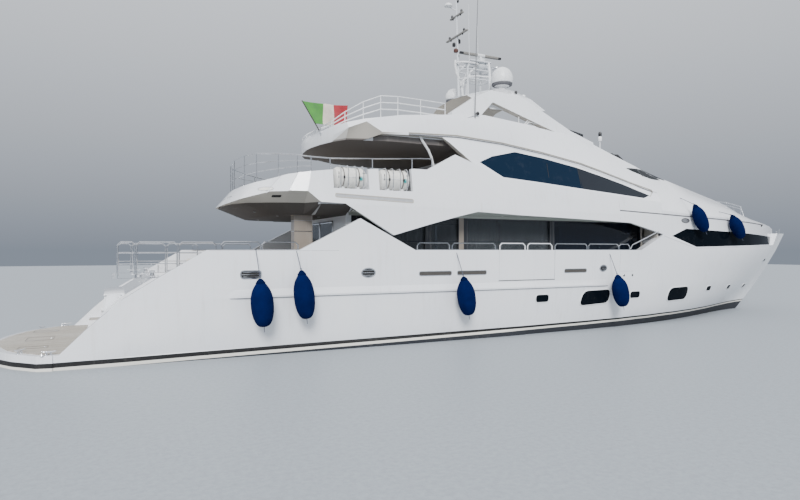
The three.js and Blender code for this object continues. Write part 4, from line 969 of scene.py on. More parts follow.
@dataclass(frozen=True)
class Cloth(Finish):
    """A woven or knitted cloth; bands of colour start at places along the boat."""

    threads: float = 300.0
    depth: float = 0.0012
    other: Colour = (0.5, 0.5, 0.5)
    sheen: float = 0.3
    bands: Sequence[tuple[float, Colour]] = ()
    soil: Colour = (0.1, 0.1, 0.1)
    fluff: Colour = (0.9, 0.9, 0.9)

    def build(self) -> bpy.types.Material:
        """Builds the material.

        Returns:
            The material.
        """
        material, graph, shader = self.start()
        spot = graph.place()
        woven = graph.use(WEAVE, Vector=spot, Threads=self.threads)
        colour = graph.blend(graph.span(woven.outputs["Tone"], 0.35, 0.7), self.colour, self.other)
        if self.bands:
            x = graph.split(spot)[0]
            for start, paint in self.bands:
                colour = graph.blend(graph.span(x, start - 0.002, start + 0.002), colour, paint)
            colour = graph.blend(graph.span(woven.outputs["Tone"], 0.4, 0.8, 0.0, 0.3), colour, self.soil)
        fuzz = graph.span(woven.outputs["Fuzz"], 0.3, 0.8, 0.0, 0.1)
        colour = graph.blend(fuzz, colour, self.fluff, "SOFT_LIGHT")
        graph.feed(shader.inputs["Base Color"], colour)
        shader.inputs["Sheen Weight"].default_value = self.sheen
        rougher = min(1.0, self.roughness * 1.1)
        rough = graph.span(woven.outputs["Fuzz"], 0.3, 0.7, self.roughness * 0.9, rougher)
        graph.feed(shader.inputs["Roughness"], rough)
        graph.feed(shader.inputs["Normal"], graph.bump(woven.outputs["Height"], self.depth, 0.6))
        return material


@dataclass(frozen=True)
class Metal(Finish):
    """Polished or cast metal with fine scratches and dull spots."""

    scratch: float = 0.0003

    def build(self) -> bpy.types.Material:
        """Builds the material.

        Returns:
            The material.
        """
        material, graph, shader = self.start()
        spot = graph.place()
        dull = graph.noise(spot, 6.0, 5.0, 0.65)
        worn = tuple(0.7 * part for part in self.colour)
        colour = graph.blend(graph.span(dull, 0.5, 0.8), self.colour, worn)
        graph.feed(shader.inputs["Base Color"], colour)
        rough = graph.span(dull, 0.35, 0.75, 0.7 * self.roughness, 1.6 * self.roughness)
        graph.feed(shader.inputs["Roughness"], rough)
        fine = graph.noise(graph.stretched(spot, (8.0, 90.0, 90.0)), 4.0, 3.0, 0.6)
        graph.feed(shader.inputs["Normal"], graph.bump(fine, self.scratch, 0.5))
        return material


@dataclass(frozen=True)
class Glazing(Finish):
    """Tinted pane; from a place along the boat on, it can have another tint."""

    transmission: float = 0.8
    ior: float = 1.5
    change: Optional[tuple[float, Colour]] = None
    salt: Colour = (0.3, 0.3, 0.3)

    def build(self) -> bpy.types.Material:
        """Builds the material.

        Returns:
            The material.
        """
        material, graph, shader = self.start()
        spot = graph.place()
        shader.inputs["Transmission Weight"].default_value = self.transmission
        shader.inputs["IOR"].default_value = self.ior
        spray = graph.noise(spot, 2.5, 6.0, 0.7)
        tint = graph.blend(graph.span(spray, 0.55, 0.85, 0.0, 0.05), self.colour, self.salt)
        if self.change is not None:
            start, other = self.change
            forward = graph.math("GREATER_THAN", graph.split(spot)[0], start)
            tint = graph.blend(forward, tint, other)
        graph.feed(shader.inputs["Base Color"], tint)
        rough = graph.span(spray, 0.5, 0.85, self.roughness, self.roughness + 0.04)
        graph.feed(shader.inputs["Roughness"], rough)
        graph.feed(shader.inputs["Normal"], graph.bump(graph.noise(spot, 0.8, 2.0), 0.004, 0.25))
        return material


WHITE: Colour = (0.80, 0.81, 0.83)
# Beige: a lacquer's own colour, and also a painted shade on faces that look down.
BEIGE: Colour = (0.44, 0.41, 0.36)
# Painted shade under the overhangs: the cockpit's ceiling, and the roof's eaves and lips.
CEILING_SHADE: Colour = (0.066, 0.058, 0.052)
ROOF_SHADE: Colour = (0.120, 0.106, 0.098)
PILLAR: Colour = (0.25, 0.215, 0.18)
DARK_WALL: Colour = (0.022, 0.024, 0.028)
# Painted shade for the soffit over the side decks and the band above the saloon windows.
SOFFIT_SHADE: Colour = (0.40, 0.42, 0.38)
LINING: Colour = (0.30, 0.28, 0.25)
BOOT_BLACK: Colour = (0.004, 0.004, 0.005)
BOOT_CREAM: Colour = (0.72, 0.70, 0.64)
ANTIFOULING: Colour = (0.016, 0.018, 0.024)


class Paints:
    """Every material of the yacht, built once."""

    def __init__(self) -> None:
        """Builds the materials."""
        self.mix_gelcoats()
        self.mix_cabin_gelcoats()
        self.mix_wood_and_metal()
        self.mix_glass()
        self.mix_plain()
        self.mix_cloths()

    def mix_gelcoats(self) -> None:
        """Builds the gelcoat of the hull, the mouldings, the roof and the arch, with painted shade under the
        last three, and the mast's paint.
        """
        shell = {"coat": 0.5, "grime": 0.35}
        stripes = [(0.375, 0.0088, BOOT_BLACK), (0.29, 0.0115, BOOT_CREAM), (0.205, 0.0124, ANTIFOULING)]
        self.hull = Gelcoat("hull_gelcoat", WHITE, 0.16, coat=0.6, grime=0.42, stripes=stripes).build()
        self.white = Gelcoat("white_gelcoat", WHITE, 0.18, **shell).build()
        casing = ((-11.05, -2.35, 2.0), (-10.3, -1.85, 4.6), PILLAR)
        # Painted shade on the moulding's downward faces: beige facets, a near-black ceiling over the cockpit
        # and a grey-green soffit over the side decks.
        below = [
            ((-14.0, -4.5, 4.3), (5.5, 4.5, 6.0), BEIGE),
            ((-14.0, -4.5, 4.3), (-9.3, 4.5, 4.868), CEILING_SHADE),
            ((-9.3, -4.5, 4.3), (5.5, 4.5, 4.72), SOFFIT_SHADE),
        ]
        self.moulding = Gelcoat("moulding_gelcoat", WHITE, 0.18, shaded_undersides=below, rooms=[casing],
                                **shell).build()
        # Painted shade on the roof's downward faces: beige eaves and a near-black ceiling over the upper
        # deck's after end.
        eaves = [
            ((-10.0, -4.0, 5.5), (6.0, 4.0, 8.5), BEIGE),
            ((-10.0, -2.85, 6.5), (-4.1, 2.85, 7.25), ROOF_SHADE),
            ((-8.6, -2.75, 7.2), (-4.1, 2.75, 7.40), ROOF_SHADE),
        ]
        # Painted shade on every face of the roof's lips.
        lips = [((-8.22, low, 6.9), (-4.1, high, 7.42), ROOF_SHADE)
                for low, high in ((-2.86, -2.65), (2.65, 2.86))]
        self.roof = Gelcoat("roof_gelcoat", WHITE, 0.18, shaded_undersides=eaves, rooms=lips, **shell).build()
        # Painted shade on the arch's downward faces.
        arch_head = ((-6.0, -3.0, 7.0), (3.0, 3.0, 10.5), BEIGE)
        self.arch = Gelcoat("arch_gelcoat", WHITE, 0.2, coat=0.4, grime=0.4, shaded_undersides=[arch_head]).build()
        self.mast = Gelcoat("mast_paint", (0.62, 0.64, 0.66), 0.35, coat=0.2, grime=0.4).build()
        self.antifouling = Gelcoat("antifouling", ANTIFOULING, 0.8, grime=0.3,
                                   grime_colour=(0.05, 0.05, 0.05)).build()
        self.beige = Gelcoat("beige_lacquer", BEIGE, 0.25, coat=0.4, grime=0.35).build()

    def mix_cabin_gelcoats(self) -> None:
        """Builds the gelcoat of both deckhouses, with the colours of their walls, posts and linings, and
        painted shade above the saloon windows and under the upper cabin's eaves.
        """
        saloon = ((-9.25, -2.675, 2.05), (4.85, 2.675, 4.62), LINING)
        sides = ((-9.1, -3.0, 2.88), (4.80, 3.0, 4.515), DARK_WALL)
        # Painted shade on the band above the saloon windows.
        head = ((-9.2, -3.0, 4.515), (5.1, 3.0, 4.7), SOFFIT_SHADE)
        post = ((-4.71, -3.0, 2.0), (-4.50, 3.0, 4.515), PILLAR)
        end = ((4.80, -3.0, 2.0), (5.1, 3.0, 4.7), BEIGE)
        rooms = [sides, head, post, end, saloon]
        self.house = Gelcoat("house_gelcoat", WHITE, 0.2, coat=0.4, grime=0.3, rooms=rooms).build()
        cabin = ((-4.24, -3.12, 4.75), (5.4, 3.12, 7.09), LINING)
        # Painted shade on the upper cabin's downward faces.
        eave = ((-6.0, -4.0, 6.0), (6.0, 4.0, 8.0), BEIGE)
        self.cabin = Gelcoat("cabin_gelcoat", WHITE, 0.18, coat=0.5, grime=0.35, rooms=[cabin],
                             shaded_undersides=[eave]).build()

    def mix_wood_and_metal(self) -> None:
        """Builds the decks' teak, the varnished wood and the metals."""
        self.teak = Planks("weathered_teak", (0.40, 0.37, 0.33), 0.7).build()
        self.varnish = Planks("varnished_wood", (0.28, 0.12, 0.05), 0.2, coat=0.8, width=0.11, length=3.0,
                              other=(0.20, 0.08, 0.035), seam=(0.10, 0.05, 0.02)).build()
        self.steel = Metal("polished_steel", (0.72, 0.73, 0.75), 0.18, metallic=1.0).build()
        self.bronze = Metal("cast_bronze", (0.50, 0.34, 0.16), 0.38, metallic=1.0, scratch=0.001).build()
        self.iron = Metal("engine_paint", (0.55, 0.56, 0.57), 0.45, metallic=0.2, scratch=0.001).build()
        self.zinc = Metal("zinc", (0.42, 0.43, 0.45), 0.6, metallic=0.9, scratch=0.002).build()

    def mix_glass(self) -> None:
        """Builds the panes of both decks, the bow and the sundeck's screen."""
        self.saloon_glass = Glazing("saloon_glass", (0.30, 0.33, 0.36), 0.02, transmission=0.92, specular=0.4,
                                    change=(-0.2, (0.05, 0.075, 0.13))).build()
        self.dark_glass = Glazing("dark_glass", (0.004, 0.014, 0.032), 0.03, transmission=0.1, specular=0.12,
                                  ior=1.25, change=(0.75, (0.020, 0.024, 0.031))).build()
        self.bow_glass = Glazing("bow_glass", (0.003, 0.005, 0.008), 0.04, transmission=0.1, specular=0.1,
                                 ior=1.18).build()
        self.clear = Glazing("smoked_screen", (0.03, 0.034, 0.04), 0.03, transmission=0.3,
                             specular=0.2).build()

    def mix_plain(self) -> None:
        """Builds the plain paints, plastics and rubbers."""
        self.step = Finish("step_covering", (0.17, 0.155, 0.145), 0.7).build()
        self.black = Finish("black_plastic", (0.018, 0.018, 0.020), 0.35).build()
        self.void = Finish("dark_recess", (0.010, 0.010, 0.011), 0.8).build()
        self.gutter = Finish("gutter_paint", (0.33, 0.31, 0.27), 0.4).build()
        self.staff = Finish("staff_varnish", (0.030, 0.022, 0.016), 0.25, coat=0.6).build()
        self.recess = Finish("slot_recess", (0.06, 0.055, 0.05), 0.8).build()
        self.yard = Finish("yard_paint", (0.22, 0.21, 0.195), 0.5).build()
        self.label = Finish("raft_label", (0.03, 0.30, 0.30), 0.4).build()
        self.whip = Finish("whip_aerial", (0.16, 0.16, 0.17), 0.5).build()
        self.rubber = Finish("grey_rubber", (0.10, 0.10, 0.11), 0.75).build()
        # Grey for the joints, and for the painted shadow line under the rubbing strake.
        self.seam = Finish("joint_filler_and_shadow_line", (0.38, 0.39, 0.41), 0.6).build()
        self.plastic = Finish("white_plastic", (0.78, 0.79, 0.80), 0.35).build()
        self.canister = Finish("raft_canister", (0.76, 0.75, 0.71), 0.42).build()
        self.lamp = Finish("lamp_lens", (0.85, 0.83, 0.76), 0.12, coat=0.8).build()
        self.rust = Finish("brown_fitting", (0.085, 0.032, 0.024), 0.5).build()
        self.screen = Finish("instrument_glass", (0.008, 0.010, 0.014), 0.08, coat=1.0).build()

    def mix_cloths(self) -> None:
        """Builds the cloths of the fenders, cushions, curtains, straps and the flag."""
        cover = {"threads": 160.0, "depth": 0.003, "sheen": 0.0, "specular": 0.06}
        self.fender = Cloth("fender_cover", (0.0006, 0.0065, 0.055), 0.95, other=(0.0004, 0.0045, 0.04),
                            **cover).build()
        self.neck = Cloth("fender_neck", (0.0005, 0.005, 0.040), 0.95, other=(0.0004, 0.003, 0.025),
                          **cover).build()
        self.rope = Cloth("fender_line", (0.05, 0.06, 0.10), 0.85, threads=700.0,
                          other=(0.03, 0.035, 0.06)).build()
        self.strap = Cloth("raft_strap", (0.17, 0.155, 0.14), 0.8, threads=400.0,
                           other=(0.12, 0.11, 0.1)).build()
        self.cushion = Cloth("deck_cushion", (0.66, 0.61, 0.52), 0.85, threads=420.0,
                             other=(0.60, 0.55, 0.46)).build()
        self.piping = Cloth("cushion_piping", (0.40, 0.36, 0.29), 0.8, threads=600.0,
                            other=(0.34, 0.3, 0.24)).build()
        self.curtain = Cloth("curtain", (0.36, 0.34, 0.30), 0.9, threads=500.0,
                             other=(0.30, 0.28, 0.25)).build()
        self.sofa = Cloth("saloon_sofa", (0.30, 0.27, 0.24), 0.9, threads=400.0,
                          other=(0.25, 0.22, 0.2)).build()
        self.carpet = Cloth("carpet", (0.22, 0.20, 0.18), 0.95, threads=90.0,
                            other=(0.16, 0.14, 0.12)).build()
        white, red = (-9.60, (0.62, 0.55, 0.47)), (-9.18, (0.33, 0.012, 0.022))
        self.flag = Cloth("flag_cloth", (0.06, 0.26, 0.035), 0.8, threads=500.0, other=(0.04, 0.21, 0.03),
                          sheen=0.2,
                          bands=[white, red]).build()


def dress(node: str, *materials: bpy.types.Material) -> None:
    """Gives a solid its materials and lets its curved faces shade as curves.

    Args:
        node: The solid's name.
        materials: Its materials.
    """
    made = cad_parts[node]
    while len(made.data.materials) < len(materials):
        made.data.materials.append(None)
    for slot, material in zip(made.material_slots, materials):
        slot.material = material
    if "custom_normal" in made.data.attributes:
        made.data.attributes.remove(made.data.attributes["custom_normal"])
    weld = made.modifiers.new("weld", "WELD")
    weld.merge_threshold = 0.00015
    smooth = made.modifiers.new("smooth", "NODES")
    smooth.node_group = smoothing()
    LOG.info("dressed %s", node)


def smoothing() -> bpy.types.NodeTree:
    """The node group that shades flat joints smooth and keeps real edges sharp; built once.

    Returns:
        The geometry node group.
    """
    name = "smooth_by_angle"
    if name in bpy.data.node_groups:
        return bpy.data.node_groups[name]
    limit = math.radians(27)
    tree = bpy.data.node_groups.new(name, "GeometryNodeTree")
    tree.interface.new_socket(name="Geometry", in_out="INPUT", socket_type="NodeSocketGeometry")
    tree.interface.new_socket(name="Geometry", in_out="OUTPUT", socket_type="NodeSocketGeometry")
    entry = tree.nodes.new("NodeGroupInput")
    leave = tree.nodes.new("NodeGroupOutput")
    faces = tree.nodes.new("GeometryNodeSetShadeSmooth")
    edges = tree.nodes.new("GeometryNodeSetShadeSmooth")
    edges.domain = "EDGE"
    edges.inputs["Shade Smooth"].default_value = False
    angle = tree.nodes.new("GeometryNodeInputMeshEdgeAngle")
    over = tree.nodes.new("FunctionNodeCompare")
    over.operation = "GREATER_THAN"
    over.inputs[1].default_value = limit
    tree.links.new(entry.outputs[0], faces.inputs["Geometry"])
    tree.links.new(faces.outputs[0], edges.inputs["Geometry"])
    tree.links.new(angle.outputs[0], over.inputs[0])
    tree.links.new(over.outputs[0], edges.inputs["Selection"])
    tree.links.new(edges.outputs[0], leave.inputs[0])
    return tree


# Sub-assemblies

SIDES = (Side.STARBOARD, Side.PORT)


def seamline(shape: Shape, skin: Skin, points: Sequence[Point], side: Side, radius: float = 0.006,
             finish: Optional[Material] = None) -> None:
    """Lays a thin bead along the skin.

    Args:
        shape: The shape that takes it.
        skin: What it lies on.
        points: Corners as pairs of x and z.
        side: The side of the boat.
        radius: The bead's radius.
        finish: Its material; the shape's main one if none is given.
    """
    spacing = 0.35
    path = []
    for start, end in zip(points, points[1:]):
        start, end = Vector(start), Vector(end)
        count = max(1, int((end - start).length / spacing))
        path.extend(start.lerp(end, k / count) for k in range(count))
    path.append(Vector(points[-1]))
    shape.tube([skin.beside(spot.x, spot.y, side) for spot in path], radius, 6, finish)


def cleat(shape: Shape, place: Point, length: float = 0.42, turn: float = 0.0,
          finish: Optional[Material] = None) -> None:
    """Adds a horned cleat on two feet.

    Args:
        shape: The shape that takes it.
        place: Its middle on the deck.
        length: Length over its horns.
        turn: Its heading in degrees from the bow's.
        finish: Its material; the shape's main one if none is given.
    """
    heading = Vector((math.cos(math.radians(turn)), math.sin(math.radians(turn)), 0))
    middle = Vector(place)
    rise = 0.24 * length
    shares = (-1, -0.7, -0.3, 0, 0.3, 0.7, 1)
    horn = [middle + heading * (share * length / 2) + Vector((0, 0, rise + 0.03 * abs(share) ** 3))
            for share in shares]
    shape.tube(horn, [0.010, 0.019, 0.026, 0.027, 0.026, 0.019, 0.010], 12, finish)
    post = [(0.0, 0), (0.052, 0), (0.05, 0.012), (0.024, 0.03), (0.02, rise)]
    for share in (-0.3, 0.3):
        shape.lathe(post, middle + heading * (share * length / 2), sides=16, finish=finish)


@dataclass
class Hull:
    """The hull's sides: panes, ports, vents, slots, joints and small fittings."""

    paints: Paints
    skins: dict[Side, Skin] = field(init=False)
    # Corners of x and z
    panes: Sequence[Sequence[Point]] = (
        ((0.42, 1.0), (0.63, 1.66), (2.21, 1.69), (2.15, 1.07)),
        ((5.95, 0.95), (6.12, 1.61), (7.63, 1.64), (7.58, 0.99)),
    )
    # After end, forward end, foot, head
    ports: Sequence[tuple[float, float, float, float]] = (
        (-1.82, -1.12, 1.23, 1.58), (3.38, 4.08, 1.20, 1.545), (9.24, 9.74, 1.30, 1.58),
        (11.58, 12.10, 1.28, 1.55), (14.55, 15.10, 1.22, 1.46),
    )
    vents: Sequence[tuple[float, float, float, float]] = (
        (-9.13, -8.59, 2.36, 2.71), (1.47, 1.91, 2.40, 2.70), (-13.11, -12.44, 2.40, 2.68),
    )
    slots: Sequence[tuple[float, float]] = ((-6.95, -5.61), (-5.40, -4.11), (-0.42, 0.78))
    slot_z: tuple[float, float] = (2.38, 2.56)
    frame_width: float = 0.030
    long_vent: float = 0.6
    slats: int = 3
    # Bead's radius, then its corners of x and z
    seams: Sequence[tuple[float, Sequence[Point]]] = (
        (0.005, ((2.65, 3.28), (2.65, 2.41), (3.50, 2.40))),
        (0.005, ((-14.0, 3.28), (-9.9, 3.28))),
        # Painted shadow: a grey bead under the rubbing strake.
        (0.016, ((-13.40, 1.812), (2.0, 1.812))),
        (0.006, ((-3.56, 3.29), (-3.56, 2.15))),
        (0.006, ((-0.90, 3.29), (-0.90, 2.15))),
        (0.007, ((4.9, 3.95), (5.35, 3.93), (7.62, 3.38), (17.0, 3.54))),
    )
    balcony_sill: Sequence[Point] = ((-3.57, 2.145), (-0.89, 2.145))
    balcony_y: float = -3.600
    hinge_x: Sequence[float] = (-3.3, -2.23, -1.15)
    latch_x: Sequence[float] = (-3.42, -1.04)
    hawse: tuple[float, float, float, float] = (16.40, 2.74, 0.24, 0.13)
    lamp_x: Sequence[float] = (2.92, 3.44)
    lamp_z: float = 2.225

    def __post_init__(self) -> None:
        """Reads the hull's and the bulwarks' skins."""
        self.skins = {side: Skin("hull", f"bulwark_{side.word}", f"balcony_{side.word}") for side in SIDES}

    def build(self) -> None:
        """Dresses the solids and adds the fittings of both sides."""
        dress("hull", self.paints.hull)
        for side in SIDES:
            dress(f"bulwark_{side.word}", self.paints.white)
            dress(f"balcony_{side.word}", self.paints.white)
            self.lights(side)
            self.openings(side)
            self.joints(side)
            self.bow_fittings(side)
            self.balcony_fittings(side)

    def lights(self, side: Side) -> None:
        """Lays the hull's dark panes and ports with their frames.

        Args:
            side: The side of the boat.
        """
        skin, shape, glass = self.skins[side], Shape(self.paints.plastic), self.paints.bow_glass
        for outline in self.panes:
            inlay(shape, skin, rounded(outline, 0.30, 6), side, glass, self.frame_width, 0.03)
        for port in self.ports:
            inlay(shape, skin, rounded(rectangle(*port), 0.17, 6), side, glass, self.frame_width, 0.02)
        shape.piece(f"hull_panes_{side.word}", slot="glazing")

    def openings(self, side: Side) -> None:
        """Lays the vents with their slats and the freeing slots.

        Args:
            side: The side of the boat.
        """
        skin, shape = self.skins[side], Shape(self.paints.steel)
        for x0, x1, z0, z1 in self.vents:
            middle, half = (x0 + x1) / 2, (x1 - x0) / 2
            if x1 - x0 > self.long_vent:
                outline = bar(x0, x1, z0, z1)
            else:
                outline = oval(middle, (z0 + z1) / 2, half, (z1 - z0) / 2, 28)
            inlay(shape, skin, outline, side, self.paints.void, 0.04, 0.012)
            for k in range(1, self.slats + 1):
                share = k / (self.slats + 1)
                reach = half * math.sqrt(1 - (2 * share - 1) ** 2) - 0.05
                z = z0 + (z1 - z0) * share
                seamline(shape, skin, [(middle - reach, z), (middle + reach, z)], side, 0.010)
        for x0, x1 in self.slots:
            inlay(shape, skin, bar(x0, x1, *self.slot_z), side, self.paints.recess, 0.026, 0.010)
        shape.piece(f"hull_openings_{side.word}", slot="steel")

    def joints(self, side: Side) -> None:
        """Lays the painted shadow line under the rubbing strake, the joints of the shell and the balcony's
        sill.

        Args:
            side: The side of the boat.
        """
        skin, shape = self.skins[side], Shape(self.paints.seam)
        for radius, points in self.seams:
            seamline(shape, skin, points, side, radius)
        seamline(shape, skin, self.balcony_sill, side, 0.014, self.paints.black)
        shape.piece(f"hull_joints_{side.word}", slot="steel")

    def bow_fittings(self, side: Side) -> None:
        """Fits the hawse at the bow and the pair of lamps amidships.

        Args:
            side: The side of the boat.
        """
        skin, shape = self.skins[side], Shape(self.paints.steel)
        inlay(shape, skin, oval(*self.hawse, 28), side, self.paints.void, 0.05, 0.02)
        for x in self.lamp_x:
            inlay(shape, skin, oval(x, self.lamp_z, 0.055, 0.055, 14), side, self.paints.void, 0.015, 0.012)
        shape.piece(f"bow_fittings_{side.word}", slot="steel")

    def balcony_fittings(self, side: Side) -> None:
        """Fits hinges and latches to the fold-down bulwark.

        Args:
            side: The side of the boat.
        """
        shape, y = Shape(self.paints.steel), self.balcony_y
        for x in self.hinge_x:
            shape.block((x - 0.07, y, 2.20), (x + 0.07, y + 0.028, 2.32), 0.006)
            shape.tube([(x - 0.06, y + 0.018, 2.19), (x + 0.06, y + 0.018, 2.19)], 0.014, 10)
        for x in self.latch_x:
            shape.block((x - 0.035, y, 3.05), (x + 0.035, y + 0.030, 3.17), 0.006)
        shape.on(side).piece(f"balcony_fittings_{side.word}", f"balcony_{side.word}", "steel")


@dataclass
class Stern:
    """The bathing platform, the stairs, the transom and the garage door."""

    paints: Paints
    platform_z: float = 0.42
    # The starboard stair: its foot, one tread, one rise, its steps and its width
    foot: float = -17.45
    run: float = 0.41
    rise: float = 0.28
    steps: int = 6
    stair_y: tuple[float, float] = (-3.45, -2.50)
    # Along the boat, from the middle line, heading in degrees
    cleats: Sequence[tuple[float, float, float]] = ((-18.20, 3.50, 0), (-18.95, 2.85, 50))
    post_x: Sequence[float] = (-17.8, -18.35)
    post_y: float = 3.60
    post: Profile = ((0.0, 0), (0.05, 0), (0.045, 0.02), (0.03, 0.05), (0, 0.055))
    hatch_x: tuple[float, float] = (-19.1, -18.35)
    hatch_y: Sequence[tuple[float, float]] = ((-0.42, 0.42), (1.75, 2.15), (-2.15, -1.75))
    latch: Profile = ((0.0, 0), (0.035, 0), (0.032, 0.006), (0, 0.007))
    # The garage door's after face, as x and z
    door_foot: tuple[float, float] = (-17.05, 0.47)
    door_head: tuple[float, float] = (-16.80, 2.24)
    door_half: float = 1.72
    grip_y: Sequence[float] = (-1.2, 0.0, 1.2)
    grip_z: float = 0.85
    strip_z: Sequence[float] = (1.80, 0.64)
    # The transom's head with its lamps, cleats and bollards
    head_z: float = 2.431
    lamp_y: Sequence[float] = (-2.1, -0.7, 0.7, 2.1)
    lamp: Profile = ((0.0, 0), (0.06, 0), (0.06, 0.012), (0.045, 0.022), (0, 0.024))
    bollard: Profile = (
        (0.0, 0), (0.10, 0), (0.10, 0.03), (0.07, 0.06), (0.06, 0.16), (0.09, 0.20), (0.09, 0.22), (0, 0.23),
    )
    # Corners of x and z round the garage's opening, and its half width
    cheek: Sequence[Point] = ((-16.985, 0.75), (-16.79, 1.89), (-16.40, 1.92), (-16.40, 0.75))
    lip: Sequence[Point] = ((-16.885, 1.892), (-16.865, 1.925), (-16.30, 1.965), (-16.30, 1.900))
    opening_half: float = 1.845
    cheek_thick: float = 0.03

    def build(self) -> None:
        """Dresses the solids and adds the fittings."""
        dress("platform_teak", self.paints.teak)
        dress("garage_door", self.paints.white)
        for side in SIDES:
            dress(f"stern_rail_{side.word}", self.paints.steel)
            self.stair(side)
        self.platform()
        self.door()
        self.transom()

    def stair(self, side: Side) -> None:
        """Lays teak on the treads, with two step lights in each riser.

        Args:
            side: The side of the boat.
        """
        treads, lights = Shape(self.paints.teak), Shape(self.paints.lamp)
        y0, y1 = self.stair_y
        for k in range(1, self.steps):
            x, z = self.foot + self.run * (k - 1), self.platform_z + self.rise * k
            tread = rounded(rectangle(x + 0.03, x + self.run - 0.03, y0 + 0.06, y1 - 0.06), 0.05)
            treads.prism(tread, "z", z + 0.0005, z + 0.016, 0.004)
            for y in (y0 + 0.12, y1 - 0.20):
                lights.block((x - 0.007, y, z - 0.15), (x + 0.002, y + 0.08, z - 0.11), 0.003)
        treads.on(side).piece(f"stair_teak_{side.word}", slot="teak")
        lights.on(side).piece(f"stair_lights_{side.word}", slot="white_plastic")

    def platform(self) -> None:
        """Fits cleats, low posts and three hatches, each with a rubber seal and a latch."""
        shape, z = Shape(self.paints.steel), self.platform_z + 0.001
        for side in SIDES:
            for x, y, turn in self.cleats:
                cleat(shape, (x, side.value * y, z), 0.36, side.value * -turn)
            for x in self.post_x:
                shape.lathe(self.post, (x, side.value * self.post_y, z), sides=16)
        for y0, y1 in self.hatch_y:
            seal = rounded(rectangle(*self.hatch_x, y0, y1), 0.06)
            shape.hoop([(x, y, z + 0.020) for x, y in seal], 0.007, 6, self.paints.rubber)
            shape.lathe(self.latch, (self.hatch_x[1] - 0.07, (y0 + y1) / 2, z + 0.018), sides=14)
        shape.piece("platform_fittings", slot="steel")

    def door_face(self, y: float, z: float, out: float) -> Vector:
        """A point off the leaning garage door.

        Args:
            y: Its distance from the middle line.
            z: Its height.
            out: How far it stands off the door.

        Returns:
            The point.
        """
        (x0, z0), (x1, z1) = self.door_foot, self.door_head
        return Vector((x0 + (x1 - x0) * (z - z0) / (z1 - z0) - out, y, z))

    def door(self) -> None:
        """Fits three grips and two thin strips to the garage door."""
        shape, face, z = Shape(self.paints.steel), self.door_face, self.grip_z
        for y in self.grip_y:
            grip = [face(y - 0.16, z, 0.0), face(y - 0.15, z, 0.05), face(y + 0.15, z, 0.05),
                    face(y + 0.16, z, 0.0)]
            shape.tube(grip, 0.011, 10)
        for z in self.strip_z:
            shape.tube([face(-self.door_half, z, 0.004), face(self.door_half, z, 0.004)], 0.006, 6)
        shape.piece("garage_door_fittings", "garage_door", "steel")

    def transom(self) -> None:
        """Fits lamps, cleats and bollards to the transom's head and trims the garage's opening."""
        shape, z = Shape(self.paints.steel), self.head_z
        for y in self.lamp_y:
            shape.lathe(self.lamp, (-16.6, y, z), sides=20)
        near, far = self.opening_half, self.opening_half - self.cheek_thick
        for side in SIDES:
            cleat(shape, (-15.9, side.value * 2.28, z), 0.45)
            shape.lathe(self.bollard, (-15.5, side.value * 2.08, z), sides=28)
            shape.join(Shape(self.paints.white).prism(self.cheek, "y", -near, -far, 0.006).on(side))
        shape.prism(self.lip, "y", -near, near, 0.008, self.paints.white)
        shape.piece("transom_fittings", slot="steel")


@dataclass
class Underwater:
    """Machinery and running gear; the places are the starboard ones."""

    paints: Paints
    cylinders: int = 6
    first_cylinder: float = -12.25
    cylinder_pitch: float = 0.36
    bank_y: Sequence[float] = (-1.72, -1.32)
    bank_z: tuple[float, float] = (0.80, 0.90)
    pipe_y: float = -2.03
    pipe_z: float = 0.78
    pulley: Profile = (
        (0, 0), (0.26, 0), (0.26, 0.05), (0.22, 0.06), (0.22, 0.08), (0.26, 0.09), (0.26, 0.12), (0, 0.13),
    )
    filter_x: Sequence[float] = (-12.1, -11.7)
    filter: Profile = ((0, 0), (0.07, 0), (0.07, 0.24), (0.04, 0.27), (0, 0.27))
    zinc_y: Sequence[float] = (-1.686, -1.514)

    def build(self) -> None:
        """Dresses engines, propellers and rudders and adds their small parts."""
        for side in SIDES:
            dress(f"engine_{side.word}", self.paints.iron)
            dress(f"propeller_{side.word}", self.paints.bronze)
            dress(f"rudder_{side.word}", self.paints.antifouling)
            self.engine(side)
            self.zincs(side)

    def engine(self, side: Side) -> None:
        """Puts covers, pipes, filters and a belt pulley on an engine block.

        Args:
            side: The side of the boat.
        """
        shape, steel = Shape(self.paints.iron), self.paints.steel
        y, z, (foot, head) = self.pipe_y, self.pipe_z, self.bank_z
        for k in range(self.cylinders):
            x = self.first_cylinder + self.cylinder_pitch * k
            for bank in self.bank_y:
                shape.block((x, bank, foot), (x + 0.28, bank + 0.24, head), 0.03)
            shape.tube([(x + 0.14, -1.95, 0.55), (x + 0.14, y, 0.62), (x + 0.14, y, z)], 0.035, 10, steel)
        shape.tube([(-12.4, y, z), (-10.1, y, z), (-9.8, -1.9, 0.9), (-9.6, -1.6, 1.1)], 0.07, 14, steel)
        shape.lathe(self.pulley, (-9.9, -1.4, 0.1), (1, 0, 0), 32)
        for x in self.filter_x:
            shape.lathe(self.filter, (x, -0.80, 0.1), sides=20, finish=steel)
        shape.on(side).piece(f"engine_parts_{side.word}", slot="cast_iron")

    def zincs(self, side: Side) -> None:
        """Bolts a zinc to each face of the rudder.

        Args:
            side: The side of the boat.
        """
        shape = Shape(self.paints.zinc)
        for y in self.zinc_y:
            shape.block((-17.2, y - 0.012, -1.35), (-16.98, y + 0.012, -1.27), 0.01)
        shape.on(side).piece(f"rudder_zincs_{side.word}", f"rudder_{side.word}", "cast_iron")


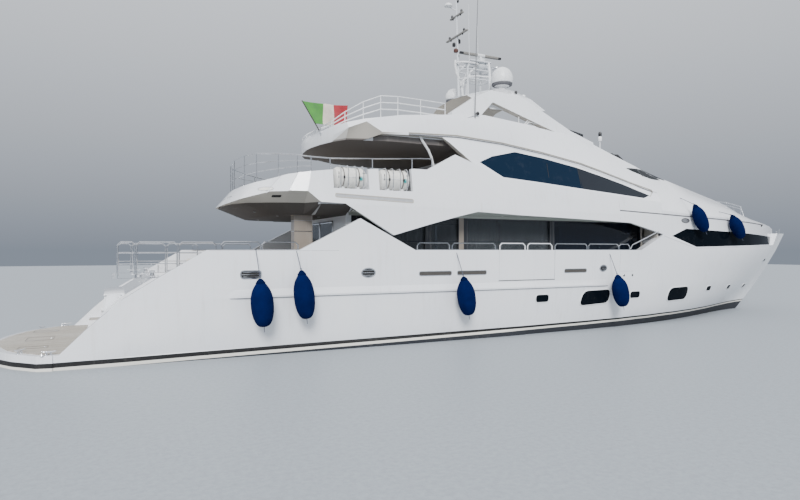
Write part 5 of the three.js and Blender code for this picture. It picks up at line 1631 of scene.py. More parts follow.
@dataclass(frozen=True)
class LeafFrame:
    """The steel frame round the starboard leaf of a pair of sliding doors, with its pull."""

    house: str
    x: float
    # From the middle line: outer stile's two edges, inner stile's two edges
    stiles: tuple[float, float, float, float]
    bar_y: tuple[float, float]
    foot_z: tuple[float, float]
    head_z: tuple[float, float]
    pull_y: float
    pull_z: tuple[float, float]
    thick: float = 0.054
    reach: float = 0.038

    def build(self, side: Side, steel: Material) -> None:
        """Builds the frame of one side's leaf.

        Args:
            side: The side of the boat.
            steel: Its material.
        """
        shape = Shape(steel)
        outer, outer_end, inner, inner_end = self.stiles
        (low, low_end), (high, high_end), (start, end) = self.foot_z, self.head_z, self.bar_y
        for y0, y1, z0, z1 in ((outer, outer_end, low, high_end), (inner, inner_end, low, high_end),
                               (start, end, high, high_end), (start, end, low, low_end)):
            shape.block((self.x, y0, z0), (self.x + self.thick, y1, z1), 0.006)
        grip, y, (foot, head) = self.x - self.reach, self.pull_y, self.pull_z
        shape.tube([(self.x, y, foot), (grip, y, foot + 0.02), (grip, y, head - 0.02), (self.x, y, head)],
                   0.012, 10)
        shape.on(side).piece(f"{self.house}_door_frame_{side.word}", f"{self.house}_door_{side.word}",
                             "steel")


SALOON_LEAF = LeafFrame("saloon", -9.352, (-1.525, -1.455, -0.078, -0.006), (-1.46, -0.07), (2.14, 2.26),
                        (4.30, 4.375), -0.045, (3.0, 3.5))
UPPER_LEAF = LeafFrame("upper", -4.312, (-1.325, -1.26, -0.072, -0.006), (-1.27, -0.065), (4.82, 4.93),
                       (6.78, 6.845), -0.04, (5.6, 6.1))


@dataclass(frozen=True)
class Curtain:
    """A pleated curtain that hangs along the boat."""

    name: str
    x0: float
    x1: float
    # Share of its length, and the number of folds from there on
    folds: Sequence[tuple[float, int]]
    columns: int = 150
    rows: int = 8
    swing: float = 0.032
    thick: float = 0.002

    def build(self, side: Side, y: float, z0: float, z1: float, cloth: Material) -> None:
        """Hangs it on one side.

        Args:
            side: The side of the boat.
            y: Its middle plane.
            z0: Its foot.
            z1: Its head.
            cloth: Its material.
        """
        turn, spots = 0.0, []
        for k in range(self.columns + 1):
            share = k / self.columns
            rate = [count for start, count in self.folds if start <= share][-1]
            turn += 2 * math.pi * rate / self.columns
            spots.append((self.x0 + (self.x1 - self.x0) * share, turn, self.swing * min(1.0, rate / 6)))
        points = []
        for row in range(self.rows + 1):
            drop = row / self.rows
            for x, angle, deep in spots:
                sway = 0.15 * noise.noise(Vector((x * 2.3, drop * 1.4, y)))
                across = deep * (0.7 + 0.3 * drop) * math.sin(angle + sway)
                along = 0.01 * math.sin(angle * 0.5 + drop)
                points.append((x + along, y + across, z1 + (z0 - z1) * drop))
        shape = Shape(cloth).add(points, grid(self.columns, self.rows))
        made = shape.piece(f"{self.name}_{side.word}", slot="cushion", smooth_below=80)
        thick = made.modifiers.new("thick", "SOLIDIFY")
        thick.thickness = self.thick


@dataclass
class MainDeck:
    """The main deck and its deckhouse with the saloon behind the glass."""

    paints: Paints
    windows: Sequence[tuple[float, float]] = ((-8.90, -6.15), (-5.92, -4.72), (-4.35, -0.33), (-0.13, 4.79))
    sill: float = 2.95
    head: float = 4.49
    deck_z: float = 2.121
    # The starboard side deck's forward end: the bulkhead's corners of y and z, and its handrail
    bulkhead: Sequence[Point] = (
        (-3.50, 3.45), (-3.50, 4.12), (-3.20, 4.62), (-2.74, 4.62), (-2.74, 2.13), (-3.40, 2.13),
        (-3.44, 3.2),
    )
    step_tops: Sequence[tuple[float, float]] = ((4.35, 2.45), (4.70, 2.80))
    handrail: Sequence[Point] = (
        (3.32, -3.62, 3.36), (3.42, -3.62, 3.52), (3.9, -3.62, 3.70), (4.5, -3.62, 3.93), (5.0, -3.60, 4.12),
    )
    curtain_y: float = 2.585
    curtains: Sequence[Curtain] = (
        Curtain("curtain_aft", -8.95, -6.20, ((0, 14),)),
        Curtain("curtain_forward", -4.38, -2.75, ((0, 11),)),
        Curtain("curtain_long", -2.70, -0.28, ((0, 5), (0.8, 12))),
    )
    # Lowest and highest corner of each wooden piece in the saloon, and the radius of its edges
    woodwork: Sequence[tuple[Point, Point, float]] = (
        ((-1.2, -1.5, 2.143), (-0.9, 1.5, 4.48), 0.02), ((1.6, -2.45, 2.143), (2.8, -2.0, 3.05), 0.03),
        ((-6.9, -0.6, 2.50), (-5.6, 0.6, 2.56), 0.02), ((-6.45, -0.2, 2.143), (-6.05, 0.2, 2.50), 0.02),
    )
    # Each sofa's two edges from the middle line, and its back's outer edge
    sofas: Sequence[tuple[float, float, float]] = ((-2.35, -1.45, -2.45), (1.45, 2.35, 2.15))
    sofa_x: Sequence[float] = (-8.4, -7.45, -6.5, -5.55)
    table: tuple[float, float, float, float] = (-12.66, -11.54, -0.86, 0.86)
    table_foot: Profile = ((0, 0), (0.17, 0), (0.16, 0.012), (0.08, 0.02), (0.07, 0.03))
    winch: Profile = (
        (0, 0), (0.15, 0), (0.15, 0.10), (0.10, 0.14), (0.09, 0.30), (0.13, 0.36), (0.13, 0.39), (0, 0.40),
    )
    drain: Profile = ((0, 0), (0.04, 0), (0.036, 0.005), (0, 0.006))
    drain_x: Sequence[float] = (-13.6, -10.2, -5.6, -0.3, 3.9)
    ceiling_lamp: Profile = ((0, 0), (0.05, 0), (0.05, 0.012), (0.03, 0.02), (0, 0.022))
    ceiling_lamp_x: Sequence[float] = (-8.0, -6.0, -3.0, 0.0, 3.0)
    wall_lamp: Profile = ((0.0, 0), (0.075, 0), (0.09, 0.02), (0.085, 0.06), (0.05, 0.10), (0, 0.115))

    def build(self) -> None:
        """Dresses the solids and furnishes the deck and the saloon."""
        dress("main_deck_teak", self.paints.teak)
        dress("main_deckhouse", self.paints.house)
        for side in SIDES:
            dress(f"saloon_glass_{side.word}", self.paints.saloon_glass)
            dress(f"saloon_door_{side.word}", self.paints.saloon_glass)
            for part in ("quarter", "aft", "forward"):
                dress(f"side_rail_{part}_{side.word}", self.paints.steel)
            self.window_trim(side)
            self.forward_end(side)
            for hung in self.curtains:
                hung.build(side, side.value * self.curtain_y, self.sill - 0.35, self.head + 0.03,
                           self.paints.curtain)
            SALOON_LEAF.build(side, self.paints.steel)
        self.saloon()
        self.cockpit()
        self.deck_gear()

    def window_trim(self, side: Side) -> None:
        """Beads a rubber seal round every window, with curtain rods and a sloping bar inside.

        Args:
            side: The side of the boat.
        """
        shape = Shape(self.paints.rubber)
        for x0, x1 in self.windows:
            rim = rounded(rectangle(x0, x1, self.sill, self.head), 0.05)
            shape.hoop([(x, -2.799, z) for x, z in rim], 0.010, 6)
        for x0, x1 in self.windows[:3]:
            shape.tube([(x0 - 0.03, -2.64, 3.62), (x1 + 0.03, -2.64, 3.62)], 0.016, 8, self.paints.black)
        for foot, head, radius in ((2.97, 4.0, 0.028), (2.45, 3.5, 0.018)):
            shape.tube([(3.0, -2.62, foot), (4.75, -2.62, head)], radius, 10, self.paints.steel)
        shape.on(side).piece(f"window_trim_{side.word}", slot="glazing")

    def forward_end(self, side: Side) -> None:
        """Closes the side deck's forward end by a bulkhead with two steps and a handrail.

        Args:
            side: The side of the boat.
        """
        shape, step = Shape(self.paints.beige), self.paints.step
        shape.prism(self.bulkhead, "x", 5.06, 5.10, 0.006)
        for x, z in self.step_tops:
            shape.block((x, -3.42, 2.125), (5.055, -2.83, z), 0.02, step)
        shape.block((4.93, -3.42, 2.13), (5.055, -2.80, 3.60), 0.02, step)
        shape.tube(self.handrail, 0.026, 10, self.paints.steel)
        shape.on(side).piece(f"side_deck_end_{side.word}", slot="gelcoat")

    def saloon(self) -> None:
        """Furnishes the saloon: carpet, a cupboard, two sofas, a table and an inner bulkhead."""
        floor = Shape(self.paints.carpet).block((-9.15, -2.60, 2.122), (4.75, 2.60, 2.142), 0.004)
        floor.piece("saloon_carpet", slot="cushion")
        wood = Shape(self.paints.varnish)
        for low, high, radius in self.woodwork:
            wood.block(low, high, radius)
        wood.piece("saloon_wood", slot="varnished_wood")
        seats = Shape(self.paints.sofa)
        for y0, y1, back in self.sofas:
            for x in self.sofa_x:
                seats.cushion((x, y0, 2.35), (x + 0.93, y1, 2.60), 0.03)
                seats.cushion((x, back, 2.60), (x + 0.93, back + 0.3, 3.0), 0.02)
            seats.block((self.sofa_x[0], y0, 2.143), (-4.62, y1, 2.36), 0.03)
        seats.piece("saloon_sofas", slot="cushion")

    def cockpit(self) -> None:
        """Builds the aft sofa with its cushions and dresses the table."""
        base = Shape(self.paints.white).block((-14.09, -2.09, self.deck_z), (-13.27, 2.09, 2.40), 0.03)
        base.block((-14.09, -2.09, 2.38), (-13.90, 2.09, 2.80), 0.05)
        base.piece("cockpit_sofa_base", slot="gelcoat", stands_for=("cockpit_sofa",))
        pads = Shape(self.paints.cushion)
        for k in range(4):
            y = -2.07 + 1.037 * k
            pads.cushion((-13.88, y, 2.40), (-13.26, y + 1.02, 2.545), 0.02)
            pads.cushion((-14.06, y + 0.01, 2.56), (-13.84, y + 1.01, 2.955), 0.012)
            rim = rounded(rectangle(-13.875, -13.265, y + 0.005, y + 1.015), 0.05)
            pads.hoop([(x, across, 2.525) for x, across in rim], 0.006, 6, self.paints.piping)
        made = pads.piece("cockpit_sofa_cushions", slot="cushion")
        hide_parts("cockpit_sofa")
        dress("cockpit_table", self.paints.varnish)
        trim = Shape(self.paints.steel)
        trim.hoop([(x, y, 2.853) for x, y in rounded(rectangle(*self.table), 0.12)], 0.012, 8)
        for y in (-0.35, 0.35):
            trim.lathe(self.table_foot, (-12.1, y, self.deck_z), sides=28)
        trim.piece("cockpit_table_trim", slot="steel")

    def deck_gear(self) -> None:
        """Fits winches, cleats, drains and lamps along the side decks."""
        shape, lamps, z = Shape(self.paints.steel), Shape(self.paints.lamp), self.deck_z
        for way in (side.value for side in SIDES):
            shape.lathe(self.winch, (-14.55, way * 2.95, z), sides=36)
            cleat(shape, (-12.8, way * 3.35, z), 0.5)
            cleat(shape, (2.2, way * 3.30, z), 0.45)
            for x in self.drain_x:
                shape.lathe(self.drain, (x, way * 3.42, z), sides=16)
            for x in self.ceiling_lamp_x:
                lamps.lathe(self.ceiling_lamp, (x, way * 3.2, 4.609), (0, 0, -1), 20)
            lamps.lathe(self.wall_lamp, (-7.2, way * 2.801, 4.28), (0, way, 0), 24)
        shape.piece("deck_gear", slot="steel")
        lamps.piece("side_deck_lamps", slot="white_plastic")


@dataclass
class UpperDeck:
    """The upper deck with its overhang, benches and life rafts."""

    paints: Paints
    # The starboard rafts: middles, half length and radius, and the distance of the ribs
    raft_x: Sequence[float] = (-9.415, -7.765)
    raft_y: float = -3.34
    raft_z: float = 5.74
    raft_half: float = 0.545
    raft_wide: float = 0.352
    ribs: int = 5
    rib_pitch: float = 0.192
    band_at: Sequence[float] = (-0.27, 0.27)
    strap_at: Sequence[float] = (-0.40, -0.13, 0.14, 0.41)
    release: Profile = ((0, 0), (0.035, 0), (0.035, 0.03), (0.02, 0.04), (0, 0.04))
    # Corners of x and z of the long slot in the side panel
    slot: Sequence[Point] = ((-10.02, 5.04), (-10.02, 5.185), (-7.13, 5.085), (-7.13, 4.93))
    lamp: Profile = ((0, 0), (0.05, 0), (0.05, 0.010), (0.03, 0.018), (0, 0.02))
    lamp_x: Sequence[float] = (-12.2, -11.4, -9.9)
    casing: tuple[float, float, float, float] = (-11.004, -10.346, -2.304, -1.896)
    ledge_z: float = 5.20

    def build(self) -> None:
        """Dresses the solids and adds rafts, cushions and lights."""
        dress("upper_moulding", self.paints.moulding)
        dress("upper_coaming", self.paints.moulding)
        dress("upper_deck_teak", self.paints.teak)
        dress("upper_rail", self.paints.steel)
        for side in SIDES:
            shape = Shape(self.paints.canister)
            for x in self.raft_x:
                self.canister(shape, x)
                self.lashing(shape, x)
                self.raft_fittings(shape, x)
            shape.on(side).piece(f"rafts_{side.word}", slot="canister",
                                 stands_for=(f"life_rafts_{side.word}",))
            self.details(side)
        self.casing_bands()
        self.benches()

    def canister(self, shape: Shape, x: float) -> None:
        """Turns one ribbed canister with the joint of its halves.

        Args:
            shape: The shape that takes it.
            x: Its middle along the boat.
        """
        half, wide, y, z = self.raft_half, self.raft_wide, self.raft_y, self.raft_z
        profile = [(0.0, -half), (0.20, -half), (0.30, -half + 0.03), (wide - 0.02, -half + 0.09)]
        for rib in range(self.ribs):
            at = -half + 0.16 + rib * self.rib_pitch
            profile += [(wide - 0.012, at - 0.062), (wide, at - 0.05), (wide, at + 0.05),
                        (wide - 0.012, at + 0.062)]
        profile += [(wide - 0.02, half - 0.09), (0.30, half - 0.03), (0.20, half), (0.0, half)]
        shape.lathe(profile, (x, y, z), (1, 0, 0), 56)
        front = y - (wide + 0.004)
        shape.tube([(x - half + 0.05, front, z), (x + half - 0.05, front, z)], 0.010, 8, self.paints.plastic)

    def lashing(self, shape: Shape, x: float) -> None:
        """Puts two cloth bands with buckles and feet and four steel straps round one canister.

        Args:
            shape: The shape that takes them.
            x: The canister's middle along the boat.
        """
        wide, y, z = self.raft_wide, self.raft_y, self.raft_z
        reach, front = wide + 0.005, y - wide - 0.022
        for at in self.band_at:
            band = [(x + at, y + reach * math.cos(turn), z + reach * math.sin(turn)) for turn in turns(40)]
            shape.hoop(band, 0.020, 6, self.paints.strap)
            shape.block((x + at - 0.03, y - wide - 0.030, z - 0.06),
                        (x + at + 0.03, y - wide - 0.004, z + 0.03),
                        0.006, self.paints.black)
            shape.block((x + at - 0.05, y - 0.24, 5.352), (x + at + 0.05, y + 0.24, 5.42), 0.01,
                        self.paints.plastic)
        for at in self.strap_at:
            bend = ((y - 0.10, 6.118), (front + 0.10, 6.118), (front, 6.02), (front, 5.45),
                    (front + 0.10, 5.36),
                    (y, 5.355))
            shape.tube([(x + at, across, up) for across, up in bend], 0.014, 8, self.paints.steel)

    def raft_fittings(self, shape: Shape, x: float) -> None:
        """Adds the release, the plain label and two small marks to one canister.

        Args:
            shape: The shape that takes them.
            x: The canister's middle along the boat.
        """
        y, z, black = self.raft_y, self.raft_z, self.paints.black
        front = y - self.raft_wide
        shape.lathe(self.release, (x + 0.43, y - 0.30, z + 0.14), (0, -1, 0.3), 16, black)
        shape.block((x + 0.27, front - 0.012, z - 0.10), (x + 0.38, front - 0.002, z + 0.03), 0.004,
                    self.paints.label)
        for low in (z - 0.04, z + 0.08):
            shape.block((x - 0.47, front + 0.010, low), (x - 0.45, front - 0.008, low + 0.08), 0.003, black)

    def details(self, side: Side) -> None:
        """Lays the long slot, the oval lights, the dark slot and a joint on the side panel.

        Args:
            side: The side of the boat.
        """
        skin, shape, paints = Skin("upper_moulding", "upper_coaming"), Shape(self.paints.steel), self.paints
        inlay(shape, skin, rounded(self.slot, 0.07), side, paints.seam, 0.030, 0.014, paints.beige)
        inlay(shape, skin, oval(-12.12, 5.30, 0.20, 0.075, 24), side, paints.lamp, 0.016, 0.012)
        inlay(shape, skin, bar(-11.95, -11.67, 5.02, 5.09), side, paints.void)
        inlay(shape, skin, oval(-12.9, 5.20, 0.05, 0.05, 14), side, paints.lamp, 0.01, 0.02)
        seamline(shape, skin, [(2.65, 4.60), (2.65, 5.35)], side, 0.005, paints.seam)
        shape.piece(f"upper_side_details_{side.word}", slot="gelcoat")
        lamps = Shape(paints.zinc)
        for x in self.lamp_x:
            lamps.lathe(self.lamp, skin.below(x, side.value * 1.6, 3.6), (0, 0, -1), 20)
        lamps.piece(f"overhang_lamps_{side.word}", slot="white_plastic")

    def casing_bands(self) -> None:
        """Runs a steel band and two joints round the casing under the overhang."""
        shape, corners = Shape(self.paints.steel), rectangle(*self.casing)
        for z, radius, finish in ((3.95, 0.012, self.paints.steel), (4.32, 0.005, self.paints.seam),
                                  (2.6, 0.005, self.paints.seam)):
            for start, end in zip(corners, [*corners[1:], corners[0]]):
                shape.tube([(*start, z), (*end, z)], radius, 6, finish)
        shape.piece("casing_bands", slot="steel")

    def benches(self) -> None:
        """Lays cushions on the bench round the deck's after end."""
        pads = Shape(self.paints.cushion)
        for k in range(4):
            y = -1.96 + 0.985 * k
            pads.cushion((-12.20, y, self.ledge_z + 0.002), (-11.55, y + 0.965, self.ledge_z + 0.13), 0.02)
        pads.piece("upper_bench_cushions", slot="cushion")


@dataclass
class UpperHouse:
    """The upper deckhouse with its windows and aft doors."""

    paints: Paints
    mullions: Sequence[float] = (-0.98, 0.68)
    mullion_z: tuple[float, float] = (5.86, 6.78)
    # The gutter over the pane, as x and z, and the turn at its forward end
    gutter: Sequence[tuple[float, float]] = (
        (-7.0, 7.52), (-5.0, 7.585), (-3.0, 7.47), (-1.0, 7.23), (1.0, 6.92), (2.4, 6.60), (3.8, 6.24),
        (4.95, 5.95), (5.02, 5.88),
    )
    gutter_end: Sequence[tuple[float, float]] = ((4.98, 5.90), (4.80, 5.70), (4.70, 5.66))

    def build(self) -> None:
        """Dresses the solids and adds gutters, mullions and door frames."""
        dress("upper_deckhouse", self.paints.cabin)
        for side in SIDES:
            dress(f"upper_glass_{side.word}", self.paints.dark_glass)
            dress(f"upper_door_{side.word}", self.paints.dark_glass)
            self.lines(side)
            UPPER_LEAF.build(side, self.paints.steel)

    def lines(self, side: Side) -> None:
        """Lays thin dark joints across the pane and the gutter's double line above it.

        Args:
            side: The side of the boat.
        """
        pane, roof = Skin(f"upper_glass_{side.word}"), Skin("hardtop", "upper_deckhouse")
        shape = Shape(self.paints.gutter)
        seamline(shape, roof, self.gutter, side, 0.030)
        seamline(shape, roof, [(x, z - 0.060) for x, z in self.gutter], side, 0.018, self.paints.rubber)
        seamline(shape, roof, self.gutter_end, side, 0.016)
        foot, head = self.mullion_z
        for x in self.mullions:
            seamline(shape, pane, [(x, foot), (x + 0.12, head)], side, 0.014, self.paints.void)
        shape.piece(f"upper_mullions_{side.word}", slot="glazing")


@dataclass
class Roof:
    """The hardtop with the sundeck on it."""

    paints: Paints
    deck_z: float = 7.30
    rail_top: Sequence[tuple[float, float, float]] = (
        (-5.30, -2.76, 8.83), (-6.36, -2.79, 8.85), (-7.30, -2.81, 8.86), (-7.97, -2.79, 8.82),
        (-8.60, -2.68, 8.56),
        (-9.15, -2.30, 8.23), (-9.48, -1.82, 7.96), (-9.61, -0.90, 7.90),
    )
    # The helm: its screens' middles and half width, the lower and upper edge as x and z, and the wheel's hub
    screen_y: Sequence[float] = (-0.5, 0.0, 0.5)
    screen_half: float = 0.19
    screen_foot: tuple[float, float] = (0.50, 8.075)
    screen_head: tuple[float, float] = (0.605, 8.245)
    hub: tuple[float, float, float] = (0.36, 0.0, 7.98)
    lever_y: Sequence[float] = (-0.72, -0.66)
    # The wind screen's frame in plan; its top falls towards the bow
    guard: Sequence[tuple[float, float]] = (
        (1.15, -2.05), (2.35, -1.78), (2.65, -0.90), (2.65, 0.90), (2.35, 1.78), (1.15, 2.05),
    )
    guard_head: float = 8.640
    guard_fall: float = 0.085
    guard_foot: float = 8.20
    seat_y: Sequence[float] = (-0.48, 0.48)
    seat_foot: Profile = ((0, 0), (0.18, 0), (0.17, 0.015), (0.06, 0.03), (0.05, 0.04))
    pad_x: Sequence[float] = (-8.2, -6.1)
    pad_y: Sequence[float] = (-1.55, -0.5, 0.55)
    aerial: tuple[float, float] = (-4.03, -2.86)
    aerial_lamp: Profile = ((0, 0), (0.06, 0.01), (0.075, 0.07), (0.05, 0.13), (0, 0.15))
    post: tuple[float, float] = (2.97, -2.2)
    post_box: Profile = ((0, 0), (0.07, 0.0), (0.085, 0.05), (0.085, 0.16), (0.06, 0.20), (0, 0.22))
    post_lamp: Profile = ((0, 0), (0.06, 0.0), (0.075, 0.03), (0.075, 0.14), (0.05, 0.19), (0, 0.2))
    searchlight: Profile = (
        (0, 0), (0.07, 0.0), (0.05, 0.04), (0.07, 0.06), (0.09, 0.10), (0.08, 0.19), (0, 0.21),
    )
    wiper: Profile = ((0, 0), (0.05, 0), (0.04, 0.05), (0, 0.06))
    strut: Sequence[tuple[float, float, float]] = (
        (-6.47, -2.94, 7.49), (-6.36, -2.91, 7.33), (-6.22, -2.88, 7.17), (-6.07, -2.85, 7.00),
        (-5.93, -2.81, 6.78), (-5.80, -2.76, 6.46),
    )
    strut_radii: Sequence[float] = (0.045, 0.050, 0.050, 0.048, 0.046, 0.044)

    def build(self) -> None:
        """Dresses the solids and fits out the sundeck."""
        dress("hardtop", self.paints.roof)
        dress("roof_rail", self.paints.plastic)
        dress("sundeck_helm", self.paints.white)
        dress("sundeck_screen", self.paints.clear)
        self.helm()
        self.screen_frame()
        self.seats()
        self.pads()
        self.aerials()
        self.rails()
        for side in SIDES:
            self.eave(side)

    def helm(self) -> None:
        """Fits the helm's screens, wheel and levers."""
        shape, black = Shape(self.paints.steel), self.paints.black
        (x0, z0), (x1, z1) = self.screen_foot, self.screen_head
        wide, out = Vector((0, self.screen_half, 0)), Vector((-0.85, 0, 0.5)).normalized() * 0.012
        for y in self.screen_y:
            foot, head = Vector((x0, y, z0)), Vector((x1, y, z1))
            corners = [foot - wide, foot + wide, head + wide, head - wide]
            shape.bridge([corners, [corner + out for corner in corners]], self.paints.screen)
        hub = Vector(self.hub)

        def grip(turn: float) -> Vector:
            """A point on the wheel's rim."""
            return hub + Vector((0.06 * math.sin(turn), 0.19 * math.cos(turn), 0.18 * math.sin(turn)))

        shape.hoop([grip(turn) for turn in turns(32)], 0.014, 8, black)
        for turn in turns(3):
            shape.tube([hub, grip(turn + 0.5)], 0.008, 8)
        shape.tube([hub, hub + Vector((0.13, 0, 0.03))], 0.03, 12)
        for y in self.lever_y:
            shape.tube([(0.75, y, 8.30), (0.70, y, 8.45)], [0.012, 0.02], 8, black)
        shape.piece("helm_fittings", slot="steel")

    def screen_frame(self) -> None:
        """Frames the wind screen with two bars and a row of posts."""
        shape = Shape(self.paints.black)

        def top(x: float) -> float:
            """The height of the screen's head at a place along the boat."""
            return self.guard_head - self.guard_fall * x

        for drop, radius in ((-0.02, 0.028), (0.16, 0.016)):
            shape.tube([(x, y, top(x) - drop) for x, y in self.guard], radius, 8)
        for (x0, y0), (x1, y1) in zip(self.guard, self.guard[1:]):
            for share in (0.0, 0.2, 0.4, 0.6, 0.8):
                x, y = x0 + (x1 - x0) * share, y0 + (y1 - y0) * share
                shape.tube([(x, y, self.guard_foot), (x, y, top(x))], 0.020, 8)
        shape.piece("sundeck_screen_frame", slot="steel")

    def seats(self) -> None:
        """Stands two seats at the helm."""
        shape, steel, deck = Shape(self.paints.cushion), self.paints.steel, self.deck_z + 0.002
        for y in self.seat_y:
            shape.cushion((-0.55, y - 0.27, 7.75), (0.0, y + 0.27, 7.88), 0.02)
            shape.cushion((-0.62, y - 0.26, 7.87), (-0.50, y + 0.26, 8.38), 0.02)
            shape.tube([(-0.27, y, deck), (-0.27, y, 7.76)], 0.05, 16, steel)
            shape.lathe(self.seat_foot, (-0.27, y, deck), sides=28, finish=steel)
        shape.piece("helm_seats", slot="cushion")

    def pads(self) -> None:
        """Lays sunpads on their low bases on the after part of the sundeck."""
        pads, z = Shape(self.paints.cushion), self.deck_z
        for x in self.pad_x:
            for y in self.pad_y:
                pads.cushion((x, y, z + 0.16), (x + 1.95, y + 1.0, z + 0.30), 0.02)
            pads.block((x - 0.02, -1.57, z + 0.002), (x + 1.97, 1.57, z + 0.17), 0.03, self.paints.white)
        pads.piece("sundeck_pads", slot="cushion")

    def aerials(self) -> None:
        """Stands the whip aerial, the lamp post, two searchlights and two wipers on the roof."""
        skin, shape = Skin("hardtop", "radar_arch"), Shape(self.paints.steel)
        black, plastic = self.paints.black, self.paints.plastic
        x, y, z = skin.above(*self.aerial)
        shape.tube([(x, y, z), (x, y, 8.6)], 0.022, 10, black)
        shape.tube([(x, y, 8.6), (x + 0.06, y, 11.2), (x + 0.17, y, 14.2)], [0.020, 0.017, 0.012], 10,
                   self.paints.whip)
        shape.tube([(-4.44, y, 8.33), (-3.90, y, 8.54)], 0.018, 8)
        shape.lathe(self.aerial_lamp, (x + 0.12, y, 8.50), sides=20, finish=black)
        shape.tube([skin.above(*self.post), (*self.post, 8.22)], 0.02, 10, plastic)
        shape.lathe(self.post_box, (*self.post, 8.16), sides=24, finish=plastic)
        shape.lathe(self.post_lamp, (*self.post, 8.37), sides=20, finish=black)
        for y in (-1.6, 1.6):
            foot, end = skin.above(4.24, y), skin.above(5.25, y)
            shape.lathe(self.searchlight, foot, sides=24, finish=black)
            shape.tube([foot + Vector((0.05, 0, 0.10)), foot + Vector((0.35, 0, 0.10)),
                        end + Vector((0, 0, 0.02))],
                       [0.070, 0.085, 0.020], 10, black)
        for y in (-0.5, 0.5):
            base, tip = skin.above(4.3, y), skin.above(3.35, 0.8 * y)
            shape.tube([base + Vector((0, 0, 0.03)), tip + Vector((0, 0, 0.05))], 0.012, 8, black)
            shape.lathe(self.wiper, base, sides=16, finish=black)
        shape.piece("roof_aerials", slot="white_plastic")

    def rails(self) -> None:
        """Adds the two lower bars to the rail round the sundeck's after end."""
        shape = Shape(self.paints.plastic)
        path = [*self.rail_top, *[(x, -y, z) for x, y, z in reversed(self.rail_top)]]
        for drop in (0.24, 0.48):
            shape.tube([(x, y, z - drop * min(1.0, (z - 7.35) / 1.3)) for x, y, z in path], 0.022, 8)
        shape.piece("roof_rail_bars", slot="steel")

    def eave(self, side: Side) -> None:
        """Props the roof's after end with a slim white strut.

        Args:
            side: The side of the boat.
        """
        shape = Shape(self.paints.plastic).tube(self.strut, self.strut_radii, 14)
        shape.on(side).piece(f"roof_strut_{side.word}", slot="white_plastic")


